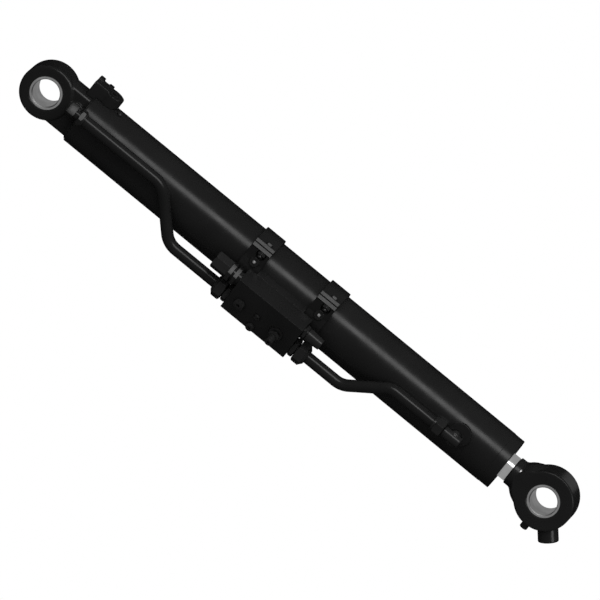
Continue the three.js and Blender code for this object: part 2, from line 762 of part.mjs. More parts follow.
function reliefCartridge() {
  const mouth = BLOCK.outer;
  const floor = mouth - RELIEF.depth;
  const hollowR = 6;
  const slidingR = hollowR - 2 * GAP;
  const flange = cut(hexBar(22, mouth + GAP, mouth + 4), bar(hollowR, mouth, mouth + 5, SMALL));
  const sleeve = ring(RELIEF.bore - GAP, hollowR, floor + GAP, mouth + 1, SMALL);
  const seat = ring(RELIEF.bore - GAP - 0.1, 3, floor + GAP, floor + 4, SMALL);
  inBlock("relief_sleeve", RELIEF, join(sleeve, flange, seat), STEEL);
  const poppet = [
    [floor + 5, 0],
    [floor + 5, 3],
    [floor + 8, slidingR],
    [floor + 10, slidingR],
    [floor + 10, 0],
  ];
  inBlock("relief_poppet", RELIEF, turned(poppet, SMALL), STEEL);
  inBlock("relief_spring", RELIEF, spring(4, 0.8, floor + 10 + GAP, mouth - 5 - GAP, 5), STEEL);
  const adjuster = join(
    bar(slidingR, mouth - 5, mouth + 6, SMALL),
    bar(4, mouth + 5.9, mouth + 27, SMALL),
    bar(6.5, mouth + 12.5, mouth + 28, SMALL),
  );
  const socket = hexBar(5, mouth + 23, mouth + 30);
  inBlock("relief_adjuster", RELIEF, cut(adjuster, socket), BLACK_FITTING);
  const locknut = cut(hexBar(17, mouth + 6.5, mouth + 12), bar(4 + GAP, mouth, mouth + 20, SMALL));
  inBlock("relief_locknut", RELIEF, locknut, BLACK_FITTING);
}

function checkCartridge() {
  const mouth = BLOCK.outer;
  const floor = mouth - CHECK.depth;
  const poppet = turned(
    [
      [floor + GAP, 0],
      [floor + GAP, 3.6],
      [floor + 3, 6],
      [floor + 6, 6],
      [floor + 6, 0],
    ],
    SMALL,
  );
  inBlock("check_poppet", CHECK, poppet, STEEL);
  inBlock("check_spring", CHECK, spring(4.2, 0.8, floor + 6 + GAP, mouth - 5 - GAP, 4), STEEL);
  const plug = join(bar(CHECK.bore - GAP, mouth - 5, mouth + 1, SMALL), hexBar(17, mouth + GAP, mouth + 7));
  const socket = hexBar(6, mouth + 2, mouth + 9);
  inBlock("check_plug", CHECK, cut(plug, socket), BLACK_FITTING);
}

function smallPlugs() {
  const mouth = BLOCK.outer;
  const screw = bar(THROTTLE.bore - GAP, mouth - 12, mouth + 1, SMALL);
  const screwHead = bar(5, mouth + GAP, mouth + 3.5, SMALL);
  const slot = box(mouth + 2.3, mouth + 5, -6, 6, -0.7, 0.7);
  inBlock("throttle_screw", THROTTLE, cut(join(screw, screwHead), slot), BLACK_FITTING);
  const gaugeShank = bar(GAUGE.bore - GAP, mouth - 10, mouth + 1, SMALL);
  const gauge = join(gaugeShank, bar(7, mouth + GAP, mouth + 6, SMALL));
  inBlock("gauge_port_plug", GAUGE, cut(gauge, hexBar(5, mouth + 2, mouth + 8)), BLACK_FITTING);
}

// ---- the two band clamps ----
function halfBand(x, sign) {
  const x0 = x - CLAMP_WIDTH / 2;
  const x1 = x + CLAMP_WIDTH / 2;
  const halfGap = EAR.gap / 2;
  const band = ring(CLAMP_R, BARREL_R + GAP, x0, x1, LARGE);
  const ear = (side) => {
    const reach = [side * EAR.end, side * (BARREL_R + 1.5)].sort(ascending);
    const thick = [sign * halfGap, sign * (halfGap + EAR.thick)].sort(ascending);
    return box(x0, x1, ...reach, ...thick);
  };
  const keep = [sign * halfGap, sign * 80].sort(ascending);
  const half = common(join(band, ear(-1), ear(1)), box(x0 - 1, x1 + 1, -80, 80, ...keep));
  const upright = bar(BOLT_R + GAP, -20, 20, SMALL).rotateY(HALF_TURN / 2);
  const hole = (side) => upright.clone().translate(x + EAR.boltShift, side * EAR.boltRadius, 0);
  return cut(half, hole(-1), hole(1));
}

function saddlePad(x) {
  return standing(bar(SADDLE_SCREW.padR, BARREL_R + 2, CLAMP_R + 3, SMALL), x);
}

function clamps() {
  for (const { side, x } of CLAMPS) {
    const screwX = x + SADDLE_SCREW.shift;
    const atScrew = (shape) => atClock(standing(shape, screwX), SADDLE_SCREW.clock);
    const pad = cut(atClock(saddlePad(screwX), SADDLE_SCREW.clock), bar(CLAMP_R - 2, x - 30, x + 30, LARGE));
    const screwHole = atScrew(bar(BOLT_R + GAP, 48.5, 70, SMALL));
    add(`clamp_upper_${side}`, atClock(halfBand(x, 1), CLAMP_CLOCK), BLACK);
    add(`clamp_lower_${side}`, cut(join(atClock(halfBand(x, -1), CLAMP_CLOCK), pad), screwHole), BLACK);
    const screw = cut(bar(BOLT_R, 49, CLAMP_R + 5, SMALL), hexBar(4, CLAMP_R + 2, CLAMP_R + 6));
    add(`saddle_screw_${side}`, atScrew(screw), STEEL);
    clampBolts(side, x);
  }
}

function clampBolts(side, x) {
  const grip = EAR.gap / 2 + EAR.thick + GAP;
  const upright = (shape, out) =>
    atClock(shape.rotateY(-HALF_TURN / 2).translate(x + EAR.boltShift, out * EAR.boltRadius, 0), CLAMP_CLOCK);
  const bolt = (tip) => join(bar(BOLT_R, tip, grip + 1, SMALL), hexBar(BOLT_HEX, grip, grip + 5.5));
  add(`clamp_bolt_front_${side}`, upright(bolt(-grip - 8), -1), BLACK_FITTING);
  add(`clamp_bolt_rear_${side}`, upright(bolt(-grip - 1), 1), BLACK_FITTING);
  const nut = cut(hexBar(BOLT_HEX, -grip - 5.5, -grip), bar(BOLT_R + GAP, -40, 40, SMALL));
  add(`clamp_nut_${side}`, upright(nut, -1), BLACK_FITTING);
}

baseCap();
bush("base_eye_bush", 0);
barrelTube();
topBlock();
topPlug();
bleedScrew();
gland();
rod();
piston();
rodEye();
bush("rod_eye_bush", PIN_DISTANCE);
rodEyeFittings();
pipes();
blockPipeFittings();
hoseUnions();
baseElbow();
rodPort();
valveBlock();
blockSaddle();
reliefCartridge();
checkCartridge();
smallPlugs();
clamps();

export default cylinder;
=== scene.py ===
"""The looks of a hydraulic cylinder with a valve block clamped to its barrel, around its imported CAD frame.

Shapes are worked out in millimetres in the frame's own axes: +X from the base eye to the rod eye, +Y along
the pin bores, +Z up. "Clock" is the angle of a place round the barrel: 0 faces -Y, and it grows towards -Z.
"Across" is measured along the barrel's tangent, positive towards the underside.
"""
import json
import math

import bmesh
import bpy
from mathutils import Matrix, Vector


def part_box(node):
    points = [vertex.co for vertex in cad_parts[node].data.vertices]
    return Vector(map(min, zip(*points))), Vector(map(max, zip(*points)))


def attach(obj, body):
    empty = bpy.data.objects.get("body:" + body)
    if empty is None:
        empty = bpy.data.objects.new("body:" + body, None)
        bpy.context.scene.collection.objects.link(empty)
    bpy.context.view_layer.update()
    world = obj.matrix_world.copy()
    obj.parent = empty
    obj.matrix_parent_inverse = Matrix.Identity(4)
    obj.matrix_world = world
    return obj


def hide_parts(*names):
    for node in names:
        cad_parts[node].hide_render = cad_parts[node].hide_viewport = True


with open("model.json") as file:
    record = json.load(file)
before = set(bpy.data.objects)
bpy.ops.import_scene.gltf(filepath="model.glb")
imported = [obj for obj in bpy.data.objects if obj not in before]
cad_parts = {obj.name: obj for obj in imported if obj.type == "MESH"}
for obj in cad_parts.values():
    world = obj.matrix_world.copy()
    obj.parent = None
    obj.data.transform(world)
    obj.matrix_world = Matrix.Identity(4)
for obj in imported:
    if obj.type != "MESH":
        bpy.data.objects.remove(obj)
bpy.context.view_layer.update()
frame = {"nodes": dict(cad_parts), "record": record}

MM = 0.001
SCENE = bpy.context.scene
BODY_OF = {node: body for body, nodes in frame["record"]["behaviour"]["bodies"].items() for node in nodes}
SLOT_OF = {part["node"]: part["material_slot"] for part in frame["record"]["subparts"]}


def span(node, axis=0):
    """The lowest and highest place of a CAD node along an axis, in millimetres."""
    low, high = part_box(node)
    return low[axis] / MM, high[axis] / MM


# ---- driving dimensions, in millimetres ----
BARREL_START, BARREL_END = span("barrel_tube")
BARREL_R = span("barrel_tube", 1)[1]
ROD_START = span("piston_rod")[0]
ROD_R = span("piston_rod", 1)[1]
GLAND_END = span("gland")[1]
EYE_SEAT = span("rod_eye")[0]
PIN_DISTANCE = sum(span("rod_eye_bush")) / 2
EYE_HALF = 25
BASE_EYE_R = 45.5
BASE_EYE_EDGE = 6
ROD_EYE_R = 49.7
ROD_EYE_EDGE = 3.5
BUSH_R = 27.5
BUSH_HALF = 23.5
PIN_R = 22.5
NECK_R = 42
NECK_HALF = 21.5
PIPE_R = 10
PIPE_BORE_R = 8
PIPE_BEND = 34
BASE_LINE = {"clock": -17.4, "radius": 70, "port_x": 53}
BASE_TURN = -16.6
ROD_LINE = {"clock": 1, "radius": 62, "port_x": 851}
ROD_BOSS = {"clock": -7, "x": 855, "radius": 19.5, "top": 51.5}
BLOCK_X = span("valve_block")
BLOCK = {"clock": 25, "inner": 53, "outer": 87, "up": 27.7, "down": 46}
BLOCK_HOLES = {
    "relief": {"x": 527.7, "across": 14, "radius": 10, "spot_face": 13.5, "depth": 28},
    "check": {"x": 453, "across": 14, "radius": 9, "spot_face": 11, "depth": 22},
    "throttle": {"x": 488, "across": 12, "radius": 4, "spot_face": 6.5, "depth": 15},
    "gauge": {"x": 488, "across": 37.5, "radius": 6, "spot_face": 8.5, "depth": 15},
}
SPOT_FACE_DEPTH = 0.5
PIPE_PORT = {"radius": 68, "across": 29.8}
HOSE_PORT = {"radius": 70, "across": -12.9}
HEX_TURN = 30
HOSE_STUDS = {
    "left": {"neck_r": 11.5, "seat": 17.1, "hex": 30, "hex_turn": 0, "hex_span": (6.2, 12.3), "mouth": 53},
    "right": {"neck_r": 10, "seat": 8, "hex": 22, "hex_turn": HEX_TURN, "hex_span": (1.5, 6.5), "mouth": 36},
}
HOSE_BORE_R = 6
BASE_NUT = {"across_flats": 26, "x0": 68.2, "x1": 76.2, "back": 78.6}
ROD_NUT = {"across_flats": 27, "x0": 815, "x1": 831, "back": 811}
PIPE_NUT = {"across_flats": 36, "near": 10, "far": 26, "cone": 4}
CLAMP_X = {"left": 426.5, "right": 559.8}
CLAMP_WIDTH = 36.5
CLAMP_R = 52.5
CLAMP_CLOCK = -36
EAR = {"end": 67, "rise": 3.6, "gap": 0.7, "thick": 7.1, "bolt_radius": 60.5, "bolt_shift": 4.5}
EAR_FOOT = EAR["rise"] - EAR["gap"] / 2 - EAR["thick"]
SADDLE_SCREW = {"clock": -14, "shift": 2.4, "pad_r": 8}
# The rod eye's neck: how far from its seat, the radius there, and the fillet.
EYE_NECK = (
    (0, 25, 0.5),
    (10.5, 25, 3),
    (14, 27, 6),
    (18.5, 31.3, 8),
    (24, 35, 8),
    (34, 39.8, 12),
    (60, 44),
)
LOCK_BOSS = {"angle": 50.5, "radius": 16.8, "end": 71.5, "hole_r": 5}
DOWEL = {"x": 12.5, "clock": -35, "radius": 3.4, "top": 26.6}
TOP_BLOCK = {"x0": 50, "head_end": 79, "round_x": 86, "round": 18.3, "half": 16, "top": 64.5}
TOP_HEAD = 67.1
TOP_RIBS = ((50, 59.5, 70.4), (69.5, 78.5, 68.7))
TOP_PORT_R = 8
BLEED = {"x": 113, "clock": -76}
# The view, in degrees and metres: how wide the picture is, and where its middle falls on the cylinder.
VIEW = {"elevation": 19.6, "azimuth": 2.6, "lean": 39.37, "width": 0.9564, "along": 0.5208, "below": 0.0057}
# The studio: the glow on matt surfaces from below and from above, what a gloss mirrors of the dark room,
# and the panels that only bare metal mirrors.
GLOW_BELOW, GLOW_ABOVE = 0.15, 0.98
DARK_ROOM = 0.012
METAL_LIGHT = 0.35
FLOOR_LEVEL = -1.2


# ---- camera ----
def camera():
    """The picture's view: a long lens that looks down on the cylinder from its near side, leaning."""
    elevation, azimuth, lean = (math.radians(VIEW[name]) for name in ("elevation", "azimuth", "lean"))
    data = bpy.data.cameras.new("camera")
    data.sensor_width = 36
    data.lens = 1000
    back = Vector(
        (
            math.cos(elevation) * math.sin(azimuth),
            -math.cos(elevation) * math.cos(azimuth),
            math.sin(elevation),
        )
    )
    along = (Vector((1, 0, 0)) - back * back.x).normalized()
    below = along.cross(back)
    right = math.cos(lean) * along - math.sin(lean) * below
    up = -math.sin(lean) * along - math.cos(lean) * below
    target = VIEW["along"] * along + VIEW["below"] * below
    distance = VIEW["width"] * data.lens / data.sensor_width
    data.clip_end = 4 * distance
    eye = bpy.data.objects.new("camera", data)
    SCENE.collection.objects.link(eye)
    turn = Matrix((right, up, back)).transposed().to_4x4()
    eye.matrix_world = Matrix.Translation(target + back * distance) @ turn
    SCENE.camera = eye
    return target, right, up, back


# ---- solids, in millimetres ----
def eased(corners, fillet, closed=False, steps=4):
    """An outline with its corners rounded. A corner may carry its own radius as a third value."""
    points = []
    count = len(corners)
    for i, corner in enumerate(corners):
        place = Vector(corner[:2])
        radius = corner[2] if len(corner) > 2 else fillet
        before = Vector(corners[i - 1][:2]) - place
        after = Vector(corners[(i + 1) % count][:2]) - place
        at_end = not closed and i in (0, count - 1)
        if at_end or radius <= 0 or before.angle(after) > math.pi - 0.05:
            points.append(place)
            continue
        set_back = radius / math.tan(before.angle(after) / 2)
        start = place + before.normalized() * min(set_back, 0.49 * before.length)
        end = place + after.normalized() * min(set_back, 0.49 * after.length)
        for k in range(steps + 1):
            t = k / steps
            points.append(start * (1 - t) ** 2 + place * 2 * t * (1 - t) + end * t**2)
    return points


def solid(bm, name="solid"):
    """An object made of a bmesh, with its faces pointing out."""
    bmesh.ops.remove_doubles(bm, verts=bm.verts, dist=1e-4)
    bmesh.ops.dissolve_degenerate(bm, edges=bm.edges, dist=1e-5)
    bmesh.ops.recalc_face_normals(bm, faces=bm.faces)
    mesh = bpy.data.meshes.new(name)
    bm.to_mesh(mesh)
    bm.free()
    obj = bpy.data.objects.new(name, mesh)
    SCENE.collection.objects.link(obj)
    return obj


def turned(corners, sides=96, fillet=0.5):
    """A solid turned about X from (x, radius) corners. A ring's outline closes on itself."""
    is_ring = corners[0][1] > 0
    outline = eased(corners, fillet, closed=is_ring)
    bm = bmesh.new()
    rings = []
    for x, radius in outline:
        angles = [2 * math.pi * i / sides for i in range(sides)]
        rings.append([bm.verts.new((x, radius * math.sin(a), radius * math.cos(a))) for a in angles])
    following = rings[1:] + (rings[:1] if is_ring else [])
    for one, other in zip(rings, following):
        for i in range(sides):
            j = (i + 1) % sides
            bm.faces.new((one[i], one[j], other[j], other[i]))
    return solid(bm)


def bar(radius, x0, x1, sides=64, fillet=0.5):
    """A round bar along X."""
    return turned([(x0, 0), (x0, radius), (x1, radius), (x1, 0)], sides, fillet)


def ring(outer, inner, x0, x1, sides=96, fillet=0.5):
    """A ring about X."""
    return turned([(x0, inner), (x0, outer), (x1, outer), (x1, inner)], sides, fillet)


def extruded(outline, low, high, axis="X"):
    """An outline pushed along X (its points are y, z) or along Z (its points are x, y)."""
    place = (lambda a, b, c: (c, a, b)) if axis == "X" else (lambda a, b, c: (a, b, c))
    bm = bmesh.new()
    ends = [[bm.verts.new(place(p[0], p[1], level)) for p in outline] for level in (low, high)]
    bm.faces.new(ends[0])
    bm.faces.new(ends[1])
    for i in range(len(outline)):
        j = (i + 1) % len(outline)
        bm.faces.new((ends[0][i], ends[0][j], ends[1][j], ends[1][i]))
    return solid(bm)


def box(x, y, z, edge=1.0, segments=3):
    """A box over three spans, with rounded edges."""
    bm = bmesh.new()
    bmesh.ops.create_cube(bm, size=1)
    size = [high - low for low, high in (x, y, z)]
    middle = [(high + low) / 2 for low, high in (x, y, z)]
    bmesh.ops.transform(bm, matrix=Matrix.Translation(middle) @ Matrix.Diagonal((*size, 1)), verts=bm.verts)
    if edge:
        bmesh.ops.bevel(bm, geom=bm.edges[:], offset=edge, segments=segments, profile=0.5, affect="EDGES")
    return solid(bm)


def hexagon(across_flats, x0, x1, chamfer=True):
    """A hexagonal bar along X with a flat towards -Y, and the turned chamfer of a nut at both ends."""
    corner_r = across_flats / math.sqrt(3)
    corners = [(corner_r * math.sin(k * math.pi / 3), corner_r * math.cos(k * math.pi / 3)) for k in range(6)]
    shape = extruded(eased(corners, 0.5, closed=True, steps=3), x0, x1)
    if not chamfer:
        return shape
    crest = corner_r + 0.2
    seat_r = 0.48 * across_flats
    fall = (crest - seat_r) * math.tan(math.radians(30))
    profile = [(x0, 0), (x0, seat_r), (x0 + fall, crest), (x1 - fall, crest), (x1, seat_r), (x1, 0)]
    return combined("INTERSECT", shape, turned(profile, 96, 0))


def applied(obj):
    """Turns an object's modifiers into its mesh."""
    graph = bpy.context.evaluated_depsgraph_get()
    mesh = bpy.data.meshes.new_from_object(obj.evaluated_get(graph))
    obj.modifiers.clear()
    old = obj.data
    obj.data = mesh
    bpy.data.meshes.remove(old)
    return obj


def discard(obj):
    mesh = obj.data
    bpy.data.objects.remove(obj)
    bpy.data.meshes.remove(mesh)


def combined(how, first, *others):
    """Boolean work on closed solids. The others are used up."""
    for other in others:
        modifier = first.modifiers.new("combine", "BOOLEAN")
        modifier.operation = how
        modifier.solver = "MANIFOLD"
        modifier.object = other
        applied(first)
        discard(other)
    return first


def cut(first, *others):
    return combined("DIFFERENCE", first, *others)


def join(first, *others):
    return combined("UNION", first, *others)


def moved(obj, matrix):
    """Moves an object's mesh, and not the object."""
    obj.data.transform(matrix)
    return obj


def shifted(obj, x=0, y=0, z=0):
    return moved(obj, Matrix.Translation((x, y, z)))


def at_clock(obj, clock):
    """Turns a body about X, from 0 on the clock round to its own angle."""
    return moved(obj, Matrix.Rotation(math.radians(clock), 4, "X"))


def standing(obj, x, across=0):
    """Turns a body made along X onto the barrel's radius at x, at 0 on the clock."""
    return moved(obj, Matrix.Translation((x, 0, -across)) @ Matrix.Rotation(-math.pi / 2, 4, "Z"))


def upright(obj, x, y=0):
    """Turns a body made along X to stand along +Z at x."""
    return moved(obj, Matrix.Translation((x, y, 0)) @ Matrix.Rotation(-math.pi / 2, 4, "Y"))


def about_pin(obj, x):
    """Turns a body made along X onto the axis of an eye's bore."""
    return moved(obj, Matrix.Translation((x, 0, 0)) @ Matrix.Rotation(math.pi / 2, 4, "Z"))


def clock_point(x, clock, radius, across=0):
    """A place beside the barrel, from its clock and its distance from the barrel's axis."""
    return Matrix.Rotation(math.radians(clock), 3, "X") @ Vector((x, -radius, -across))


def cast(first, *others, voxel=0.9, smoothing=6):
    """One cast skin over overlapping solids, with soft edges and small fillets where they meet."""
    join(first, *others)
    remesh = first.modifiers.new("skin", "REMESH")
    remesh.mode = "VOXEL"
    remesh.voxel_size = voxel
    smooth = first.modifiers.new("soften", "SMOOTH")
    smooth.iterations = smoothing
    return applied(first)


# ---- putting a piece in place ----
def shaded(obj, angle=32):
    """Smooth shading, with edges sharper than the angle kept crisp."""
    obj.data.shade_smooth()
    obj.data.set_sharp_from_angle(angle=math.radians(angle))
    return obj


def stand_for(obj, node, angle=32):
    """The finished piece that is shown instead of a CAD node."""
    moved(obj, Matrix.Scale(MM, 4))
    shaded(obj, angle)
    obj.name = obj.data.name = node + "_finished"
    obj.data.materials.clear()
    obj.data.materials.append(MATERIALS[SLOT_OF[node]])
    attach(obj, BODY_OF[node])
    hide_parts(node)
    return obj


def detail(obj, name, body, slot):
    """A weld, or another piece that no CAD node stands for."""
    moved(obj, Matrix.Scale(MM, 4))
    shaded(obj, 60)
    obj.name = obj.data.name = name
    obj.data.materials.append(MATERIALS[slot])
    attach(obj, body)
    return obj


# ---- materials ----
def new_material(name):
    """An empty material, with what is needed to build on it."""
    material = bpy.data.materials.new(name)
    material.use_nodes = True
    nodes = material.node_tree.nodes
    return material, nodes, material.node_tree.links, nodes["Principled BSDF"]


def noise(nodes, links, scale, detail_level=3, stretch=(1, 1, 1)):
    """Noise fixed to the piece. The scale is in features for each metre."""
    place = nodes.new("ShaderNodeTexCoord")
    mapping = nodes.new("ShaderNodeMapping")
    mapping.inputs["Scale"].default_value = stretch
    texture = nodes.new("ShaderNodeTexNoise")
    texture.inputs["Scale"].default_value = scale
    texture.inputs["Detail"].default_value = detail_level
    links.new(place.outputs["Object"], mapping.inputs["Vector"])
    links.new(mapping.outputs["Vector"], texture.inputs["Vector"])
    return texture.outputs["Fac"]


def spread(nodes, links, source, low, high, start=0.3, end=0.7):
    """Maps a noise to a range of numbers."""
    node = nodes.new("ShaderNodeMapRange")
    node.inputs["From Min"].default_value = start
    node.inputs["From Max"].default_value = end
    node.inputs["To Min"].default_value = low
    node.inputs["To Max"].default_value = high
    links.new(source, node.inputs["Value"])
    return node.outputs["Result"]


def blended(nodes, links, source, low, high):
    """Mixes two colours by a noise."""
    ramp = nodes.new("ShaderNodeValToRGB")
    ramp.color_ramp.elements[0].position = 0.35
    ramp.color_ramp.elements[1].position = 0.65
    ramp.color_ramp.elements[0].color = (*low, 1)
    ramp.color_ramp.elements[1].color = (*high, 1)
    links.new(source, ramp.inputs["Fac"])
    return ramp.outputs["Color"]


def bumped(nodes, links, source, strength, height):
    """A normal that stands up by the height, in metres, where the source is 1."""
    node = nodes.new("ShaderNodeBump")
    node.inputs["Strength"].default_value = strength
    node.inputs["Distance"].default_value = height
    links.new(source, node.inputs["Height"])
    return node.outputs["Normal"]


def enamel(name, dark, light, roughness, peel):
    """Black enamel sprayed on steel: orange peel, and a little dulling that comes and goes."""
    material, nodes, links, shader = new_material(name)
    links.new(blended(nodes, links, noise(nodes, links, 14), dark, light), shader.inputs["Base Color"])
    dulling = noise(nodes, links, 42, 5)
    links.new(spread(nodes, links, dulling, roughness - 0.03, roughness + 0.05), shader.inputs["Roughness"])
    links.new(bumped(nodes, links, noise(nodes, links, 650, 2), peel, 0.0001), shader.inputs["Normal"])
    shader.inputs["Specular IOR Level"].default_value = 0.5
    return material


def turned_metal(name, dark, light, roughness, stretch, scratch):
    """Bare metal with the fine marks that its grinding or turning left."""
    material, nodes, links, shader = new_material(name)
    links.new(blended(nodes, links, noise(nodes, links, 60, 4), dark, light), shader.inputs["Base Color"])
    marks = noise(nodes, links, 900, 3, stretch)
    links.new(spread(nodes, links, marks, roughness - 0.05, roughness + 0.07), shader.inputs["Roughness"])
    links.new(bumped(nodes, links, marks, scratch, 0.00003), shader.inputs["Normal"])
    shader.inputs["Metallic"].default_value = 1
    return material


def moulded(name, dark, light, roughness):
    """Rubber or polyurethane from a mould, with a fine matt grain."""
    material, nodes, links, shader = new_material(name)
    links.new(blended(nodes, links, noise(nodes, links, 30), dark, light), shader.inputs["Base Color"])
    links.new(bumped(nodes, links, noise(nodes, links, 2500, 2), 0.15, 0.00005), shader.inputs["Normal"])
    shader.inputs["Roughness"].default_value = roughness
    return material


def grey(value):
    return (value, value, value)


MATERIALS = {
    "black_paint": enamel("black_paint", grey(0.0145), grey(0.0165), 0.25, 0.06),
    "black_fittings": enamel("black_fittings", grey(0.018), grey(0.022), 0.25, 0.05),
    "chrome_rod": turned_metal("chrome_rod", grey(0.72), grey(0.8), 0.16, (1, 0.12, 0.12), 0.05),
    "bush_steel": turned_metal("bush_steel", grey(0.42), grey(0.55), 0.36, (0.12, 1, 0.12), 0.15),
    "machined_steel": turned_metal("machined_steel", grey(0.4), grey(0.52), 0.32, (1, 0.15, 0.15), 0.12),
    "bronze": turned_metal("bronze", (0.5, 0.33, 0.14), (0.62, 0.43, 0.2), 0.32, (1, 0.15, 0.15), 0.1),
    "seal_polyurethane": moulded("seal_polyurethane", (0.03, 0.11, 0.08), (0.045, 0.15, 0.1), 0.5),
    "black_rubber": moulded("black_rubber", grey(0.012), grey(0.022), 0.62),
}


# ---- the eyes ----
def eye_disc(radius, edge):
    """A forged ring's blank, with rounded edges, about the Y axis."""
    half = EYE_HALF
    corners = [(-half, 0), (-half, radius, edge), (half, radius, edge), (half, 0)]
    return about_pin(turned(corners, 128), 0)


def bush_seat(x):
    """What is bored out of an eye, with a chamfer at both faces."""
    half = EYE_HALF
    lead = 1.3
    r = BUSH_R + 0.1
    corners = [
        (-half - 2, 0),
        (-half - 2, r + lead + 2),
        (-half + lead, r),
        (half - lead, r),
        (half + 2, r + lead + 2),
        (half + 2, 0),
    ]
    return about_pin(turned(corners, 128, 0), x)


def flat_sided(shape, x0, x1):
    """A turned neck cut to the eye's width."""
    return combined("INTERSECT", shape, box((x0, x1), (-EYE_HALF, EYE_HALF), (-80, 80), 0))


def base_neck():
    """The base eye's neck: a round bar with two flat sides, and a chamfer where they meet the round."""
    half, shoulder, crest_y, crest_z = NECK_HALF, 34, 12.4, 47.4
    upper = [(half, shoulder), (crest_y, crest_z), (-crest_y, crest_z), (-half, shoulder)]
    lower = [(-y, -z) for y, z in upper]
    return combined("INTERSECT", bar(NECK_R, 0, 64, 128, 0), extruded(upper + lower, -5, 66))


def base_cap():
    """The base eye with its neck, the collar welded to the barrel and the boss of the base port."""
    spigot_r, spigot_end, shoulder = NECK_R - 0.5, 92, BARREL_START + 1
    collar = [
        (57, 0),
        (57, 22),
        (62.8, 25),
        (64.5, NECK_R, 1),
        (shoulder, NECK_R),
        (shoulder, spigot_r),
        (spigot_end, spigot_r),
        (spigot_end, 0),
    ]
    boss_r, boss_top = 14, 31
    boss = standing(bar(boss_r, 10, boss_top, 48, 1), BASE_LINE["port_x"])
    at_clock(boss, BASE_LINE["clock"])
    skin = cast(eye_disc(BASE_EYE_R, BASE_EYE_EDGE), base_neck(), turned(collar, 128), boss)
    stand_for(cut(skin, bush_seat(0)), "base_cap")


def bush(node, x):
    """A plain bush in an eye, with a chamfer at both ends of its bore."""
    half, lead = BUSH_HALF, 1.6
    corners = [
        (-half, PIN_R + lead, 0.2),
        (-half, BUSH_R, 0.5),
        (half, BUSH_R, 0.5),
        (half, PIN_R + lead, 0.2),
        (half - lead, PIN_R, 0.3),
        (-half + lead, PIN_R, 0.3),
    ]
    stand_for(about_pin(turned(corners, 128), x), node)


def on_lock_boss(obj):
    """Turns a body made along X onto the radius of the rod eye's pin-lock boss."""
    turn = Matrix.Rotation(math.radians(LOCK_BOSS["angle"]), 4, "Y")
    return moved(obj, Matrix.Translation((PIN_DISTANCE, 0, 0)) @ turn)


def rod_eye():
    """The rod eye with its neck and pin-lock boss, and the dowel in the neck."""
    flare = [(EYE_SEAT + x, radius, *fillet) for x, radius, *fillet in EYE_NECK]
    corners = [(EYE_SEAT, 0), *flare, (flare[-1][0], 0)]
    neck = flat_sided(turned(corners, 128), EYE_SEAT - 1, PIN_DISTANCE)
    disc = shifted(eye_disc(ROD_EYE_R, ROD_EYE_EDGE), PIN_DISTANCE)
    radius, end = LOCK_BOSS["radius"], LOCK_BOSS["end"]
    boss = on_lock_boss(turned([(30, 0), (30, radius), (end, radius, 1.6), (end, 0)], 64))
    skin = cast(disc, neck, boss)
    hole_r = LOCK_BOSS["hole_r"]
    hole = [(20, 0), (20, hole_r), (end - 1, hole_r), (end + 1, hole_r + 2), (end + 1, 0)]
    lock_hole = on_lock_boss(turned(hole, 48, 0))
    nipple_hole = below_pin(bar(4, 20, 60, 32, 0))
    stand_for(cut(skin, bush_seat(PIN_DISTANCE), lock_hole, nipple_hole), "rod_eye")
    foot, r, top = 22, DOWEL["radius"], DOWEL["top"]
    dowel = turned([(foot, 0), (foot, r), (top - 1.2, r, 0.3), (top - 0.4, r - 1.2, 1.2), (top, 0)], 48)
    at_clock(standing(dowel, EYE_SEAT + DOWEL["x"]), DOWEL["clock"])
    detail(dowel, "neck_dowel", "rod", "machined_steel")


def below_pin(obj):
    """Turns a body made along X to hang from the rod eye's centre along -Z."""
    turn = Matrix.Rotation(math.pi / 2, 4, "Y")
    return moved(obj, Matrix.Translation((PIN_DISTANCE, 0, 0)) @ turn)


def grease_nipple():
    """The nipple under the rod eye, with its cap on."""
    rim = ROD_EYE_R
    shank = bar(3.7, BUSH_R + 4, rim + 1, 32)
    nut = hexagon(12, rim + 0.2, rim + 6)
    cap_r, foot, end = 6.7, rim + 5, rim + 14.5
    cap = turned([(foot, 0), (foot, cap_r, 0.6), (end, cap_r, 1.6), (end, 0)], 48)
    stand_for(below_pin(join(nut, shank, cap)), "grease_nipple")


def lock_screw():
    """The grub screw in the lock boss, which keeps the pin from turning."""
    foot, top = BUSH_R + 3, LOCK_BOSS["end"] - 4
    r, tip_r = LOCK_BOSS["hole_r"] - 0.3, 3.5
    shank = turned([(foot, 0), (foot, tip_r), (foot + 2, r), (top, r, 0.6), (top, 0)], 32)
    stand_for(on_lock_boss(cut(shank, hexagon(5, top - 5, top + 4, False))), "pin_lock_screw")


# ---- the barrel, its ports and what closes it ----
def weld_ring(x, radius, size, ripples):
    """A weld bead round the barrel's axis, rippled by the welder's steps."""
    around = ripples * 6
    section = 10
    bm = bmesh.new()
    rings = []
    for i in range(around):
        angle = 2 * math.pi * i / around
        phase = ripples * angle
        swell = 1 + 0.1 * math.sin(phase)
        row = []
        for k in range(section):
            side = 2 * math.pi * k / section
            lean = 0.1 * size * math.sin(phase + math.cos(side))
            r = radius + size * swell * math.sin(side)
            place = (x + lean + size * math.cos(side), r * math.sin(angle), r * math.cos(angle))
            row.append(bm.verts.new(place))
        rings.append(row)
    for i in range(around):
        for k in range(section):
            j, m = (i + 1) % around, (k + 1) % section
            bm.faces.new((rings[i][k], rings[i][m], rings[j][m], rings[j][k]))
    return solid(bm)


